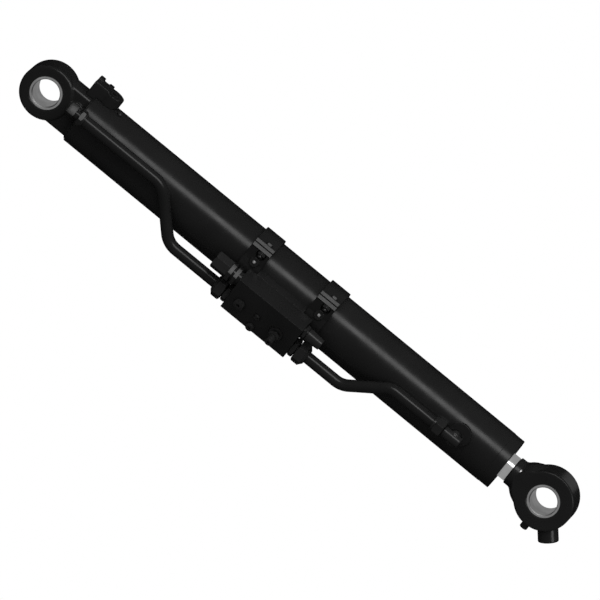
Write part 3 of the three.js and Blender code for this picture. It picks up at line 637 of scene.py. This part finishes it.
def barrel():
    """The barrel's tube, and the weld bead between it and the base cap."""
    bore_r = 40
    corners = [
        (BARREL_START, bore_r),
        (BARREL_START, BARREL_R, 1.6),
        (BARREL_END, BARREL_R, 0.8),
        (BARREL_END, bore_r),
    ]
    stand_for(turned(corners, 192), "barrel_tube")
    bead, ripples = 1.9, 110
    weld = weld_ring(BARREL_START - 0.6, NECK_R + 1.2, bead, ripples)
    detail(weld, "base_weld", "barrel", "black_paint")


def top_block():
    """The D-shaped port block on top of the barrel's base end, and the plug in its port."""
    t = TOP_BLOCK
    run_out = math.sqrt(t["round"] ** 2 - t["half"] ** 2)
    start = math.atan2(-t["half"], -run_out)
    arc = []
    for k in range(33):
        angle = start * (1 - k / 16)
        arc.append((t["round_x"] + t["round"] * math.cos(angle), t["round"] * math.sin(angle)))
    outline = [(t["x0"], -t["half"]), *arc, (t["x0"], t["half"])]
    foot = extruded(outline, 30, t["top"], "Z")
    half, top = t["half"], t["top"]
    foot_of_head = top - 4
    head = box((t["x0"], t["head_end"]), (-half + 0.5, half - 3), (foot_of_head, TOP_HEAD), 0.8)
    ribs = [box((x0, x1), (2, half), (foot_of_head, crest), 0.8) for x0, x1, crest in TOP_RIBS]
    joined = join(foot, head, *ribs)
    on_barrel = bar(BARREL_R + 0.1, BARREL_START - 0.3, 140, 192, 0)
    on_neck = bar(NECK_R + 0.1, 0, BARREL_START, 192, 0)
    skin = cast(cut(joined, on_barrel, on_neck), voxel=0.7, smoothing=10)
    r = TOP_PORT_R
    port = turned([(30, 0), (30, r), (top - 1, r), (top + 1, r + 2), (top + 1, 0)], 64, 0)
    upright(port, t["round_x"])
    stand_for(cut(skin, port), "base_port_block")
    plug = cut(bar(r - 0.2, top - 11, top - 0.8, 48, 0.8), hexagon(8, top - 6, top + 2, False))
    stand_for(upright(plug, t["round_x"]), "base_port_plug")


def bleed_screw():
    """The small screw beside the port block."""
    foot, seat, top = 43, BARREL_R + 0.2, BARREL_R + 4.6
    shank_r, head_r, crown_r = 2.7, 4.5, 3
    corners = [
        (foot, 0),
        (foot, shank_r),
        (seat, shank_r, 0),
        (seat, head_r, 0),
        (BARREL_R + 3, head_r, 0.5),
        (top, crown_r, 0.4),
        (top, 0),
    ]
    screw = standing(turned(corners, 48), BLEED["x"])
    stand_for(at_clock(screw, BLEED["clock"]), "bleed_screw")


def gland():
    """The gland, with its spanner holes, its wiper's seat, its seal's groove and its bearing's bore."""
    start, seat = span("gland")[0], GLAND_END - 11.8
    spigot_r, lip_r = 39.8, 47
    bearing_r, rod_way_r, wiper_r = 26.2, 23.4, 27.3
    groove_x0, groove_x1, groove_r = 907.7, 918.3, 28.2
    corners = [
        (start, bearing_r),
        (start, spigot_r),
        (BARREL_END + 0.1, spigot_r, 0),
        (BARREL_END - 0.3, lip_r, 0),
        (GLAND_END, lip_r, 1.4),
        (GLAND_END, wiper_r, 0.6),
        (seat, wiper_r),
        (seat, rod_way_r),
        (groove_x1, rod_way_r),
        (groove_x1, groove_r),
        (groove_x0, groove_r),
        (groove_x0, bearing_r),
    ]
    body = turned(corners, 160)
    for k in range(4):
        turn = Matrix.Rotation(math.radians(45 + 90 * k), 4, "X")
        spanner_hole = shifted(bar(2.5, GLAND_END - 7, GLAND_END + 2, 24, 0), 0, -36, 0)
        cut(body, moved(spanner_hole, turn))
    stand_for(body, "gland")
    back = seat + 0.5
    corners = [
        (back, 22.9),
        (back, 27.1),
        (back + 6.3, 27.1, 0.4),
        (back + 7.3, 25.4, 0.4),
        (back + 9.4, 24.2, 0.3),
        (back + 7, 22.8, 0.2),
    ]
    stand_for(turned(corners, 96, 0.2), "rod_wiper")


def rod():
    """The rod, with a spigot that takes the piston and one that goes into the rod eye."""
    piston_seat_r, piston_seat_end = 16, 172.3
    eye_stud_r, eye_stud_start, eye_stud_end = 15, EYE_SEAT - 0.3, EYE_SEAT + 22
    corners = [
        (ROD_START, 0),
        (ROD_START, piston_seat_r, 1),
        (piston_seat_end, piston_seat_r),
        (piston_seat_end, ROD_R, 1),
        (eye_stud_start, ROD_R, 1),
        (eye_stud_start, eye_stud_r),
        (eye_stud_end, eye_stud_r, 1),
        (eye_stud_end, 0),
    ]
    stand_for(turned(corners, 128), "piston_rod")


# ---- the hydraulic lines ----
def bent_path(corners, step=2.0):
    """Points along straight runs with a round bend at each corner."""
    points = [corners[0]]
    for i in range(1, len(corners) - 1):
        before = (corners[i - 1] - corners[i]).normalized()
        after = (corners[i + 1] - corners[i]).normalized()
        turn = math.pi - before.angle(after)
        set_back = PIPE_BEND * math.tan(turn / 2)
        centre = corners[i] + (before + after).normalized() * PIPE_BEND / math.cos(turn / 2)
        start = corners[i] + before * set_back - centre
        axis = start.cross(corners[i] + after * set_back - centre).normalized()
        steps = max(4, round(PIPE_BEND * turn / step))
        points += [centre + Matrix.Rotation(turn * k / steps, 3, axis) @ start for k in range(steps + 1)]
    return points + [corners[-1]]


def pipe(node, corners, sides=48):
    """A bent steel pipe through corners, open at both ends."""
    path = bent_path(corners)
    tangents = []
    for i in range(len(path)):
        ahead, behind = path[min(i + 1, len(path) - 1)], path[max(i - 1, 0)]
        tangents.append((ahead - behind).normalized())
    side = tangents[0].orthogonal().normalized()
    bm = bmesh.new()
    walls = {PIPE_R: [], PIPE_BORE_R: []}
    for i, (place, along) in enumerate(zip(path, tangents)):
        if i:
            side = tangents[i - 1].rotation_difference(along) @ side
        other = along.cross(side)
        for radius, rings in walls.items():
            row = []
            for k in range(sides):
                a = 2 * math.pi * k / sides
                row.append(bm.verts.new(place + radius * (math.cos(a) * side + math.sin(a) * other)))
            rings.append(row)
    outer, inner = walls.values()
    strips = list(zip(outer, outer[1:])) + list(zip(inner, inner[1:]))
    strips += [(outer[0], inner[0]), (outer[-1], inner[-1])]
    for one, two in strips:
        for k in range(sides):
            m = (k + 1) % sides
            bm.faces.new((one[k], one[m], two[m], two[k]))
    stand_for(solid(bm), node)


def block_line(x):
    return clock_point(x, BLOCK["clock"], PIPE_PORT["radius"], PIPE_PORT["across"])


def base_line(x):
    return clock_point(x, BASE_LINE["clock"], BASE_LINE["radius"])


def rod_line(x):
    return clock_point(x, ROD_LINE["clock"], ROD_LINE["radius"])


def pipes():
    """The two steel lines, from the base port to the block and from the block to the rod's port."""
    left, right = BLOCK_X
    pipe("base_line_pipe", [base_line(68), base_line(239), block_line(303), block_line(left - 11)])
    pipe("rod_line_pipe", [block_line(right + 11), block_line(659), rod_line(726), rod_line(828)])


def union_nut(across_flats, x0, x1, back):
    """A hexagonal union nut round a pipe, with a cone from one face to back."""
    backwards = back < x0
    seat = x0 if backwards else x1
    inside = seat + (2 if backwards else -2)
    wide = across_flats / 2 - 0.6
    cone = turned([(inside, 0), (inside, wide), (seat, wide), (back, PIPE_R + 2.6, 0.8), (back, 0)], 64)
    ends = sorted((x0, x1, back))
    hole = bar(PIPE_R + 0.15, ends[0] - 1, ends[-1] + 1, 64, 0)
    return cut(join(hexagon(across_flats, x0, x1), cone), hole)


def out_of(side, near, far):
    """The two faces of a piece that reaches from one distance to another out of an end of the block."""
    if side == "left":
        return BLOCK_X[0] - far, BLOCK_X[0] - near
    return BLOCK_X[1] + near, BLOCK_X[1] + far


def in_port(obj, port, node):
    """Puts a piece made along X into one of the ports in the block's ends."""
    placed = shifted(obj, 0, -port["radius"], -port["across"])
    stand_for(at_clock(placed, BLOCK["clock"]), node)


def block_pipe_fittings():
    """The adapter screwed into each end of the block, and the nut that holds the pipe to it."""
    for side in ("left", "right"):
        stud = bar(7.7, *out_of(side, -14, 0.4), 48)
        flange = at_clock(hexagon(30, *out_of(side, 0.1, 9)), HEX_TURN)
        nose = bar(PIPE_R - 0.2, *out_of(side, 8.5, 10), 48)
        adapter = cut(join(flange, stud, nose), bar(5, *out_of(side, -15, 11), 32, 0))
        in_port(adapter, PIPE_PORT, "pipe_adapter_" + side)
        x0, x1 = out_of(side, PIPE_NUT["near"], PIPE_NUT["far"])
        back = x0 - PIPE_NUT["cone"] if side == "left" else x1 + PIPE_NUT["cone"]
        nut = at_clock(union_nut(PIPE_NUT["across_flats"], x0, x1, back), HEX_TURN)
        in_port(nut, PIPE_PORT, "pipe_nut_" + side)


def hose_stud(side):
    """The stud of a hose union: a round neck with a hexagonal band, and a nose that the union seats on."""
    size = HOSE_STUDS[side]
    seat = size["seat"]
    shape = join(
        bar(8.7, *out_of(side, -14, 0.4), 48),
        bar(size["neck_r"], *out_of(side, 0.1, seat), 64, 0.6),
        at_clock(hexagon(size["hex"], *out_of(side, *size["hex_span"]), False), size["hex_turn"]),
        bar(7.8, *out_of(side, seat - 0.5, seat + 8), 48),
    )
    in_port(cut(shape, bar(5, *out_of(side, -15, seat + 9), 32, 0)), HOSE_PORT, "hose_adapter_" + side)


def hose_bore(side, seat, mouth):
    """What is bored out of a hose union: its stud's seat, the way through, and a chamfer at the mouth."""
    r = HOSE_BORE_R
    x0, x1 = out_of(side, mouth - 2, mouth + 1)
    radii = (r + 3, r) if side == "left" else (r, r + 3)
    lead = turned([(x0, 0), (x0, radii[0]), (x1, radii[1]), (x1, 0)], 48, 0)
    stud_seat = bar(8, *out_of(side, seat - 1, seat + 8.2), 48, 0)
    return stud_seat, bar(r, *out_of(side, seat, mouth + 1), 48, 0), lead


def hose_unions():
    """The open ends that the hoses go on: a nut with a hexagonal sleeve, and a plain cone."""
    seat, mouth = HOSE_STUDS["left"]["seat"] + 0.2, HOSE_STUDS["left"]["mouth"]
    nut_end = 23.3
    nut = hexagon(30, *out_of("left", seat - 0.6, nut_end), False)
    sleeve = at_clock(hexagon(27, *out_of("left", nut_end - 0.5, mouth)), HEX_TURN)
    in_port(cut(join(nut, sleeve), *hose_bore("left", seat, mouth)), HOSE_PORT, "hose_union_left")
    seat, mouth = HOSE_STUDS["right"]["seat"] + 0.2, HOSE_STUDS["right"]["mouth"]
    x0, x1 = out_of("right", seat, mouth)
    cone = turned([(x0, 0), (x0, 11.4, 1), (x1, 9.2, 0.8), (x1, 0)], 64)
    in_port(cut(cone, *hose_bore("right", seat, mouth)), HOSE_PORT, "hose_union_right")


def base_elbow():
    """The forged elbow on the base eye's neck, and the nut of the pipe that leaves it."""
    clock, radius, port = BASE_LINE["clock"], BASE_LINE["radius"], BASE_LINE["port_x"]
    half_x, half_y, half_z = 7.2, 11, 9.5
    forging = box((port - half_x, port + half_x), (-half_y, half_y), (-half_z, half_z), 0.5)
    body = at_clock(forging, BASE_TURN)
    stem = standing(bar(8, 18, radius - 6, 48, 0.4), port)
    flange = standing(hexagon(19, 31.1, 38), port)
    arm = shifted(bar(7.5, port, BASE_NUT["x0"] + 0.3, 64), 0, -radius)
    elbow = join(shifted(body, 0, -radius), stem, flange, arm)
    stand_for(at_clock(elbow, clock), "base_elbow")
    nut = at_clock(union_nut(**BASE_NUT), BASE_TURN)
    stand_for(at_clock(shifted(nut, 0, -radius), clock), "base_nut")


def rod_port():
    """The boss welded to the barrel's rod end, the elbow on it, and the nut of its pipe."""
    clock, radius, port = ROD_LINE["clock"], ROD_LINE["radius"], ROD_LINE["port_x"]
    wide, top = ROD_BOSS["radius"], ROD_BOSS["top"]
    puck = standing(turned([(38, 0), (38, wide), (top, wide, 1.2), (top, 0)], 96), ROD_BOSS["x"])
    seat = at_clock(standing(bar(12.3, top - 1.5, top + 9, 64, 0), port), clock)
    hollow = bar(BARREL_R - 0.2, port - 40, port + 40, 192, 0)
    stand_for(cut(at_clock(puck, ROD_BOSS["clock"]), hollow, seat), "rod_port_boss")
    foot, wide, crown, crown_r = top - 1.4, 12, 68, 7
    profile = [(foot, 0), (foot, wide), (crown - 2, wide, 3), (crown, crown_r, 1), (crown, 0)]
    knuckle = standing(turned(profile, 64), port)
    stem = standing(bar(8, 43, 56, 48), port)
    arm = shifted(bar(9.5, ROD_NUT["x1"] + 0.1, port + 14, 64, 2.5), 0, -radius)
    stand_for(at_clock(join(knuckle, stem, arm), clock), "rod_elbow")
    stand_for(at_clock(shifted(union_nut(**ROD_NUT), 0, -radius), clock), "rod_nut")


# ---- the valve block ----
def in_block(obj, node, hole):
    """Puts a piece made along X into one of the holes in the block's outer face."""
    place = BLOCK_HOLES[hole]
    stand_for(at_clock(standing(obj, place["x"], place["across"]), BLOCK["clock"]), node)


def valve_block():
    """The valve block with the holes in its outer face, and the saddle between it and the barrel."""
    inner, outer, up, down = (BLOCK[k] for k in ("inner", "outer", "up", "down"))
    body = box(BLOCK_X, (-outer, -inner), (-down, up), 0.4)
    for hole in BLOCK_HOLES.values():
        foot, step = outer - hole["depth"], outer - SPOT_FACE_DEPTH
        corners = [
            (foot, 0),
            (foot, hole["radius"]),
            (step, hole["radius"]),
            (step, hole["spot_face"]),
            (outer + 2, hole["spot_face"]),
            (outer + 2, 0),
        ]
        cut(body, standing(turned(corners, 64, 0), hole["x"], hole["across"]))
    stand_for(at_clock(body, BLOCK["clock"]), "valve_block")
    half = CLAMP_WIDTH / 2 + 0.3
    x0, x1 = CLAMP_X["left"] + half, CLAMP_X["right"] - half
    saddle = box((x0, x1), (-inner + 0.1, -30), (-down + 0.3, up - 0.3), 0.3)
    cut(saddle, bar(BARREL_R + 0.1, x0 - 5, x1 + 5, 192, 0))
    stand_for(at_clock(saddle, BLOCK["clock"]), "block_saddle")


def socket_plug(hex_size, foot, mouth, head_end, shank_r, key, key_depth):
    """A hexagonal plug with a socket for a key."""
    shape = join(hexagon(hex_size, mouth + 0.1, head_end), bar(shank_r, foot, mouth + 1, 48))
    return cut(shape, hexagon(key, head_end - key_depth, head_end + 2, False))


def block_cartridges():
    """What is screwed into the block's outer face."""
    mouth = BLOCK["outer"] - SPOT_FACE_DEPTH
    sleeve = cut(hexagon(22, mouth + 0.1, mouth + 4), bar(6, mouth - 1, mouth + 6, 48, 0))
    tube = cut(bar(9.7, mouth - 27, mouth + 1, 64), bar(6, mouth - 28, mouth + 3, 48, 0))
    in_block(join(sleeve, tube), "relief_sleeve", "relief")
    slide_r, thread_r, cap_r = 5.4, 4, 6.5
    foot, neck, top = mouth - 4, mouth + 6.4, mouth + 28
    corners = [
        (foot, 0),
        (foot, slide_r),
        (neck, slide_r),
        (neck, thread_r),
        (mouth + 12, thread_r),
        (mouth + 13, cap_r, 0.8),
        (top, cap_r, 1),
        (top, 0),
    ]
    cap = turned(corners, 64)
    in_block(cut(cap, hexagon(5, top - 5, top + 2, False)), "relief_adjuster", "relief")
    locknut = cut(hexagon(17, mouth + 6.6, mouth + 12.4), bar(4.1, mouth, mouth + 20, 48, 0))
    in_block(locknut, "relief_locknut", "relief")
    in_block(socket_plug(17, mouth - 5, mouth, mouth + 7, 8.7, 6, 5), "check_plug", "check")
    screw = join(bar(3.7, mouth - 12, mouth + 1, 32), bar(5, mouth + 0.1, mouth + 3.5, 48, 0.6))
    slot = box((mouth + 2.0, mouth + 6), (-7, 7), (-0.7, 0.7), 0)
    in_block(cut(screw, slot), "throttle_screw", "throttle")
    gauge = join(bar(5.7, mouth - 10, mouth + 1, 48), bar(7, mouth + 0.1, mouth + 6, 64, 0.8))
    in_block(cut(gauge, hexagon(5, mouth + 2, mouth + 8, False)), "gauge_port_plug", "gauge")


# ---- the clamps ----
def half_band(x, sign):
    """A half of a clamp's ring with its two ears, parted a little above the middle on the valve's side."""
    x0, x1 = x - CLAMP_WIDTH / 2, x + CLAMP_WIDTH / 2
    shape = ring(CLAMP_R, BARREL_R + 0.05, x0, x1, 192, 0)
    keeps = []
    for side, rise in ((-1, EAR["rise"]), (1, 0)):
        parting = rise + sign * EAR["gap"] / 2
        thick = sorted((parting, parting + sign * EAR["thick"]))
        reach = sorted((side * EAR["end"], side * (BARREL_R + 1.5)))
        shape = join(shape, box((x0, x1), reach, thick, 0))
        keeps.append(box((x0 - 1, x1 + 1), sorted((0, side * 90)), sorted((parting, sign * 90)), 0))
    return combined("INTERSECT", shape, join(*keeps))


def ear_gusset(x):
    """The web under the lower half's ear on the valve's side, with a pocket for the nut."""
    tip = -EAR["end"] + 2
    outline = [(tip, EAR_FOOT + 1), (-46, EAR_FOOT + 1), (-44, -23), (-49, -20), (tip, EAR_FOOT)]
    web = extruded(outline, x - CLAMP_WIDTH / 2, x + CLAMP_WIDTH / 2)
    cut(web, bar(BARREL_R + 0.05, x - 30, x + 30, 192, 0))
    pocket = upright(bar(8.3, -30, EAR_FOOT, 48, 0), x + EAR["bolt_shift"], -EAR["bolt_radius"])
    return cut(web, pocket)


def clamp_half(node, x, sign, pad=None):
    """A cast half of a clamp. The lower one has a web under its ear and a pad for the saddle's screw."""
    shape = half_band(x, sign)
    if pad:
        shape = join(at_clock(join(shape, ear_gusset(x)), CLAMP_CLOCK), pad)
    else:
        at_clock(shape, CLAMP_CLOCK)
    skin = cast(shape, voxel=0.55, smoothing=2)
    for side in (-1, 1):
        hole = upright(bar(4.2, -20, 20, 32, 0), x + EAR["bolt_shift"], side * EAR["bolt_radius"])
        cut(skin, at_clock(hole, CLAMP_CLOCK))
    stand_for(skin, node)


def saddle_screw(side, x):
    """The bare screw through a clamp's pad into the saddle."""
    end = CLAMP_R + 5
    screw = turned([(49, 0), (49, 3.3), (end - 1.2, 3.3, 0.4), (end, 2.1, 1.1), (end + 0.2, 0)], 48)
    stand_for(at_clock(standing(screw, x), SADDLE_SCREW["clock"]), "saddle_screw_" + side)


def clamp_bolts(side, x):
    """A bolt through each pair of ears, and the nut on the front one."""
    for place, out, rise, length in (("front", -1, EAR["rise"], 24), ("rear", 1, 0, 16)):
        head = rise + EAR["gap"] / 2 + EAR["thick"]
        bolt = join(hexagon(13, head + 0.1, head + 4.6), bar(4, head - length, head + 1, 32, 0.8))
        upright(bolt, x, out * EAR["bolt_radius"])
        stand_for(at_clock(bolt, CLAMP_CLOCK), f"clamp_bolt_{place}_{side}")
    shape = at_clock(hexagon(13, EAR_FOOT - 5.6, EAR_FOOT - 0.1), HEX_TURN)
    nut = cut(shape, bar(4.1, -40, 40, 32, 0))
    upright(nut, x, -EAR["bolt_radius"])
    stand_for(at_clock(nut, CLAMP_CLOCK), "clamp_nut_" + side)


def clamps():
    """Both clamps, with their pads, screws, bolts and nuts."""
    for side, x in CLAMP_X.items():
        clamp_half("clamp_upper_" + side, x, 1)
        screw_x = x + SADDLE_SCREW["shift"]
        pad = standing(bar(SADDLE_SCREW["pad_r"], BARREL_R + 1, CLAMP_R + 3, 64, 0), screw_x)
        at_clock(pad, SADDLE_SCREW["clock"])
        cut(pad, bar(BARREL_R + 0.05, x - 30, x + 30, 192, 0))
        clamp_half("clamp_lower_" + side, x, -1, pad)
        saddle_screw(side, screw_x)
        clamp_bolts(side, x + EAR["bolt_shift"])


def inner_pieces():
    """The CAD pieces that are kept as they are get their slots' materials."""
    for node, obj in frame["nodes"].items():
        if not obj.hide_render:
            obj.data.materials.clear()
            obj.data.materials.append(MATERIALS[SLOT_OF[node]])
            shaded(obj)


# ---- studio ----
def soft_light(name, towards, target, size, radiance, only=None, distance=3.0):
    """A soft box, size[0] metres along the cylinder and size[1] across it, or a round one of a single size.
    With "only", it lights just the pieces in that collection."""
    data = bpy.data.lights.new(name, "AREA")
    back = towards.normalized()
    if isinstance(size, tuple):
        data.shape = "RECTANGLE"
        data.size, data.size_y = size
        area = size[0] * size[1]
    else:
        data.shape = "DISK"
        data.size = size
        area = math.pi * size**2 / 4
    data.energy = radiance * math.pi * area
    light = bpy.data.objects.new(name, data)
    along = (Vector((1, 0, 0)) - back * back.x).normalized()
    turn = Matrix((along, back.cross(along), back)).transposed().to_4x4()
    light.matrix_world = Matrix.Translation(target + back * distance) @ turn
    if only:
        light.light_linking.receiver_collection = only
    SCENE.collection.objects.link(light)


def room(overhead):
    """A white sweep for the camera, an overhead glow for matt shading, and a dark room in reflections."""
    world = bpy.data.worlds.new("studio")
    SCENE.world = world
    world.use_nodes = True
    nodes, links = world.node_tree.nodes, world.node_tree.links
    place = nodes.new("ShaderNodeTexCoord")
    facing = nodes.new("ShaderNodeVectorMath")
    facing.operation = "DOT_PRODUCT"
    facing.inputs[1].default_value = overhead
    links.new(place.outputs["Generated"], facing.inputs[0])
    fall = nodes.new("ShaderNodeMapRange")
    fall.inputs["From Min"].default_value = -1
    fall.inputs["To Min"].default_value = GLOW_BELOW
    fall.inputs["To Max"].default_value = GLOW_ABOVE
    links.new(facing.outputs["Value"], fall.inputs["Value"])
    glow, dark, sweep = nodes["Background"], *(nodes.new("ShaderNodeBackground") for _ in range(2))
    links.new(fall.outputs["Result"], glow.inputs["Strength"])
    glow.inputs["Color"].default_value = (1, 1, 1, 1)
    dark.inputs["Color"].default_value = (1, 1, 1, 1)
    dark.inputs["Strength"].default_value = DARK_ROOM
    sweep.inputs["Color"].default_value = (1, 1, 1, 1)
    ray = nodes.new("ShaderNodeLightPath")
    matt, seen = (nodes.new("ShaderNodeMixShader") for _ in range(2))
    links.new(ray.outputs["Is Diffuse Ray"], matt.inputs["Fac"])
    links.new(dark.outputs[0], matt.inputs[1])
    links.new(glow.outputs[0], matt.inputs[2])
    links.new(ray.outputs["Is Camera Ray"], seen.inputs["Fac"])
    links.new(matt.outputs[0], seen.inputs[1])
    links.new(sweep.outputs[0], seen.inputs[2])
    links.new(seen.outputs[0], nodes["World Output"].inputs["Surface"])
    SCENE.view_settings.view_transform = "Standard"


def floor():
    """A plain white floor, which the camera sees and nothing else does."""
    bm = bmesh.new()
    bmesh.ops.create_grid(bm, x_segments=1, y_segments=1, size=60)
    plane = solid(bm, "floor")
    plane.location.z = FLOOR_LEVEL
    material, _, _, shader = new_material("floor")
    shader.inputs["Base Color"].default_value = (0, 0, 0, 1)
    shader.inputs["Specular IOR Level"].default_value = 0
    shader.inputs["Emission Color"].default_value = (1, 1, 1, 1)
    shader.inputs["Emission Strength"].default_value = 1
    plane.data.materials.append(material)
    plane.visible_diffuse = plane.visible_glossy = plane.visible_shadow = False


def finished(*nodes):
    """The pieces that stand for these CAD nodes, in a collection that a light can be kept to."""
    lit = bpy.data.collections.new("lit_" + nodes[0])
    for node in nodes:
        lit.objects.link(bpy.data.objects.get(node + "_finished") or frame["nodes"][node])
    return lit


def studio(target, right, up, back):
    """The room, the floor and the soft boxes, placed round the camera's view."""
    overhead = Vector((0, 0.3355, 0.942))
    room(overhead)
    floor()
    soft_light("strip", 0.4695 * overhead + 0.882 * back, target, (2.6, 0.92), 2.6)
    key_side = 0.771 * right - 0.345 * up + 0.535 * back
    soft_light("key", key_side, target, 1.2, 2.2, finished("rod_eye", "base_port_block"))
    base_eye, rod_eye_place = Vector((0, 0, 0)), Vector((PIN_DISTANCE * MM, 0, 0))
    soft_light("base_eye_rim", Vector((0.548, -0.151, 0.823)), base_eye, 1.3, 1.8, finished("base_cap"))
    soft_light("rod_eye_rim", Vector((0.162, 0.941, 0.296)), rod_eye_place, 1.3, 0.2, finished("rod_eye"))
    metal = [node for node, slot in SLOT_OF.items() if slot in ("chrome_rod", "bush_steel", "bronze")]
    mirrored = finished(*metal, "saddle_screw_left", "saddle_screw_right")
    mirrored.objects.link(bpy.data.objects["neck_dowel"])
    for k in range(4):
        towards = Vector((0, math.cos(k * math.pi / 2), math.sin(k * math.pi / 2)))
        soft_light(f"metal_{k}", towards, target, (6, 3), METAL_LIGHT, mirrored, 1.5)


view_axes = camera()
base_cap()
bush("base_eye_bush", 0)
barrel()
top_block()
bleed_screw()
gland()
rod()
rod_eye()
bush("rod_eye_bush", PIN_DISTANCE)
grease_nipple()
lock_screw()
pipes()
block_pipe_fittings()
hose_stud("left")
hose_stud("right")
hose_unions()
base_elbow()
rod_port()
valve_block()
block_cartridges()
clamps()
inner_pieces()
studio(*view_axes)
